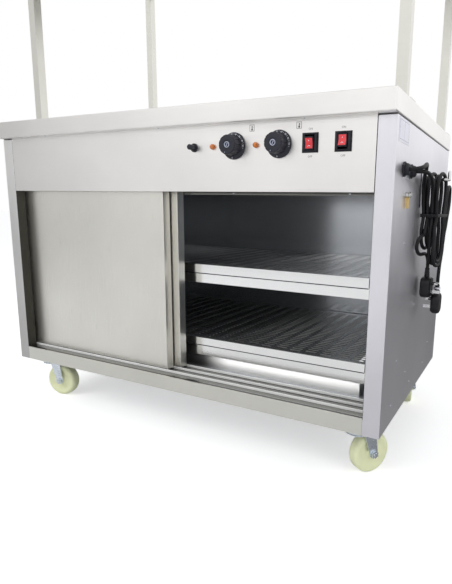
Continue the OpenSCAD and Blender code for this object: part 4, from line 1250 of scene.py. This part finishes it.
def screw_head(bm, place, axis, radius, height):
    """A pan head with a cross cut in it."""
    axis, place = Vector(axis), Vector(place)
    dome = [(0.45, 1), (0.85, 0.8), (1, 0.45), (1, 0)]
    outline = [(0, 0), (0, radius)] + [(height * a, radius * r) for a, r in dome]
    turned(bm, outline, place, axis, steps=16)
    stain(bm, 0)
    side = axis.orthogonal().normalized()
    middle = place + axis * (height * 0.97)
    for arm in (side, axis.cross(side)):
        rod(bm, middle - arm * radius * 0.5, middle + arm * radius * 0.5, height * 0.14, steps=4)
    stain(bm, 1)


def around_each(xs, ys, dx, dy):
    """The four places round each centre of a group."""
    return [(x + i * dx, y + j * dy) for x in xs for y in ys for i in (-1, 1) for j in (-1, 1)]


def make_screws():
    """Screws and rivets of the body, and the bolts of the castor plates."""
    down, up = (0, 0, -1), (0, 0, 1)
    side_spots = (
        (122, 555), (121, 278), (230, 218), (287, 174), (487, 170), (544, 220), (660, 171),
        (95, 176),
    )
    bm = bmesh.new()
    for x in (-396, 12, 404):
        screw_head(bm, (x, -11, TOP_LOW), down, 3, 1.6)
    for x in (-488, -173):
        screw_head(bm, (x, 10, FASCIA_FOOT), down, 2.5, 1.2)
    for x in (163, 475):
        screw_head(bm, (x, 93, FASCIA_FOOT), FRONT, 2.5, 1)
    for x in (202, 447):
        screw_head(bm, (x, 111, FLOOR_Z), up, 3.5, 1.6)
    for y, z in side_spots:
        screw_head(bm, (HALF_W, y, z), RIGHT, 2.5, 1)
    for x, y in around_each(POST_XS, POST_YS, 18.5, 18.5):
        screw_head(bm, (x, y, TOP_HIGH + 3), up, 3.5, 2)
    for x, y in around_each(CASTOR_XS, CASTOR_YS, 40, 32):
        rod(bm, (x, y, SIDE_FOOT - 6), (x, y, SIDE_FOOT), 7.5, steps=6, edge=0.5)
    stain(bm, 0)
    piece(bm, "screw_heads", COUNTER, [zinc, frame_paint], "body_screws")


make_screws()


# Castors

TRAIL, AXLE_Z, CROWN_Z = 35, 51, 112


def make_castor(key, x, y, heading):
    """A castor's fork with its axle bolt, and its wheel."""
    turn = Matrix.Translation((x, y, 0)) @ Matrix.Rotation(math.radians(heading), 4, "Z")
    bm = bmesh.new()
    leg = [(3, CROWN_Z), (38, CROWN_Z), (47, 52), (45.5, 43), (35, 39), (24.5, 43), (23, 52)]
    bolt = (
        (21.5, 22.7, {"radius": 11, "steps": 32}),
        (22.7, 28.1, {"radius": 9.5, "steps": 6, "edge": 0.8}),
        (28.0, 29.4, {"radius": 5, "end_radius": 4.2, "steps": 24}),
    )
    for s in (-1, 1):
        outline = [(a, s * 18.5, z) for a, z in leg]
        plate(bm, outline, (0, s * 3, 0), corner=4, edge=0.8, steps=4)
        for inner, outer, shape in bolt:
            rod(bm, (TRAIL, s * inner, AXLE_Z), (TRAIL, s * outer, AXLE_Z), **shape)
    crown = [(108, 6.1), (108, 30), (109, 32), (111, 32), (CROWN_Z, 30), (CROWN_Z, 6.1)]
    turned(bm, crown, (0, 0, 0), (0, 0, 1), steps=56, closed=True)
    geom = bm.verts[:] + bm.edges[:] + bm.faces[:]
    bmesh.ops.bisect_plane(bm, geom=geom, plane_co=(0, 0, 0), plane_no=(1, 0, 0))
    rod(bm, (TRAIL, -22, AXLE_Z), (TRAIL, 22, AXLE_Z), 5, steps=24)
    fork, wheel = f"fork_{key}", f"wheel_{key}"
    piece(bm, f"castor_{fork}", f"castor_{key}", zinc, fork, turn=turn)
    bm = bmesh.new()
    half = [
        (18, 5.05), (18, 12.4), (17, 13.8), (13.6, 16), (12.6, 20), (12.4, 27), (13.2, 33),
        (15, 37.6), (15.9, 40.6), (15.8, 43.8), (14.6, 47), (12.4, 49.3), (9, 50.6), (5, 51),
    ]
    outline = half + [(-a, r) for a, r in reversed(half)]
    turned(bm, outline, (TRAIL, 0, AXLE_Z), (0, 1, 0), steps=96, closed=True)
    roller = f"roller_{key}"
    piece(bm, f"nylon_{wheel}", roller, nylon, wheel, turn=turn, smooth=40)


headings = {"fl": 12, "fr": 55, "rl": 310, "rr": 282}
spots = [(x, y) for y in CASTOR_YS for x in CASTOR_XS]
for (key, heading), spot in zip(headings.items(), spots):
    make_castor(key, *spot, heading)


# Heat lamp


def make_heat_lamp():
    """A folded trough under the gantry shelf, with its quartz tube."""
    bm = bmesh.new()
    y, top, half = 380.5, 1430, 438
    section = (
        (-32, 0), (32, 0), (48, -34), (40, -34), (28, -8), (-28, -8), (-40, -34), (-48, -34),
    )
    plate(bm, [(-half, y + a, top + b) for a, b in section], (2 * half, 0, 0), edge=0.6)
    for s in (-1, 1):
        block(bm, (s * 420, y - 9, top - 32), (s * 432, y + 9, top - 8), 1)
    stain(bm, 0)
    rod(bm, (-430, y, top - 24), (430, y, top - 24), 5.5, steps=28)
    stain(bm, 1)
    materials = [satin_steel, quartz]
    piece(bm, "lamp_trough", COUNTER, materials, "gantry_lamp", smooth=30)


make_heat_lamp()
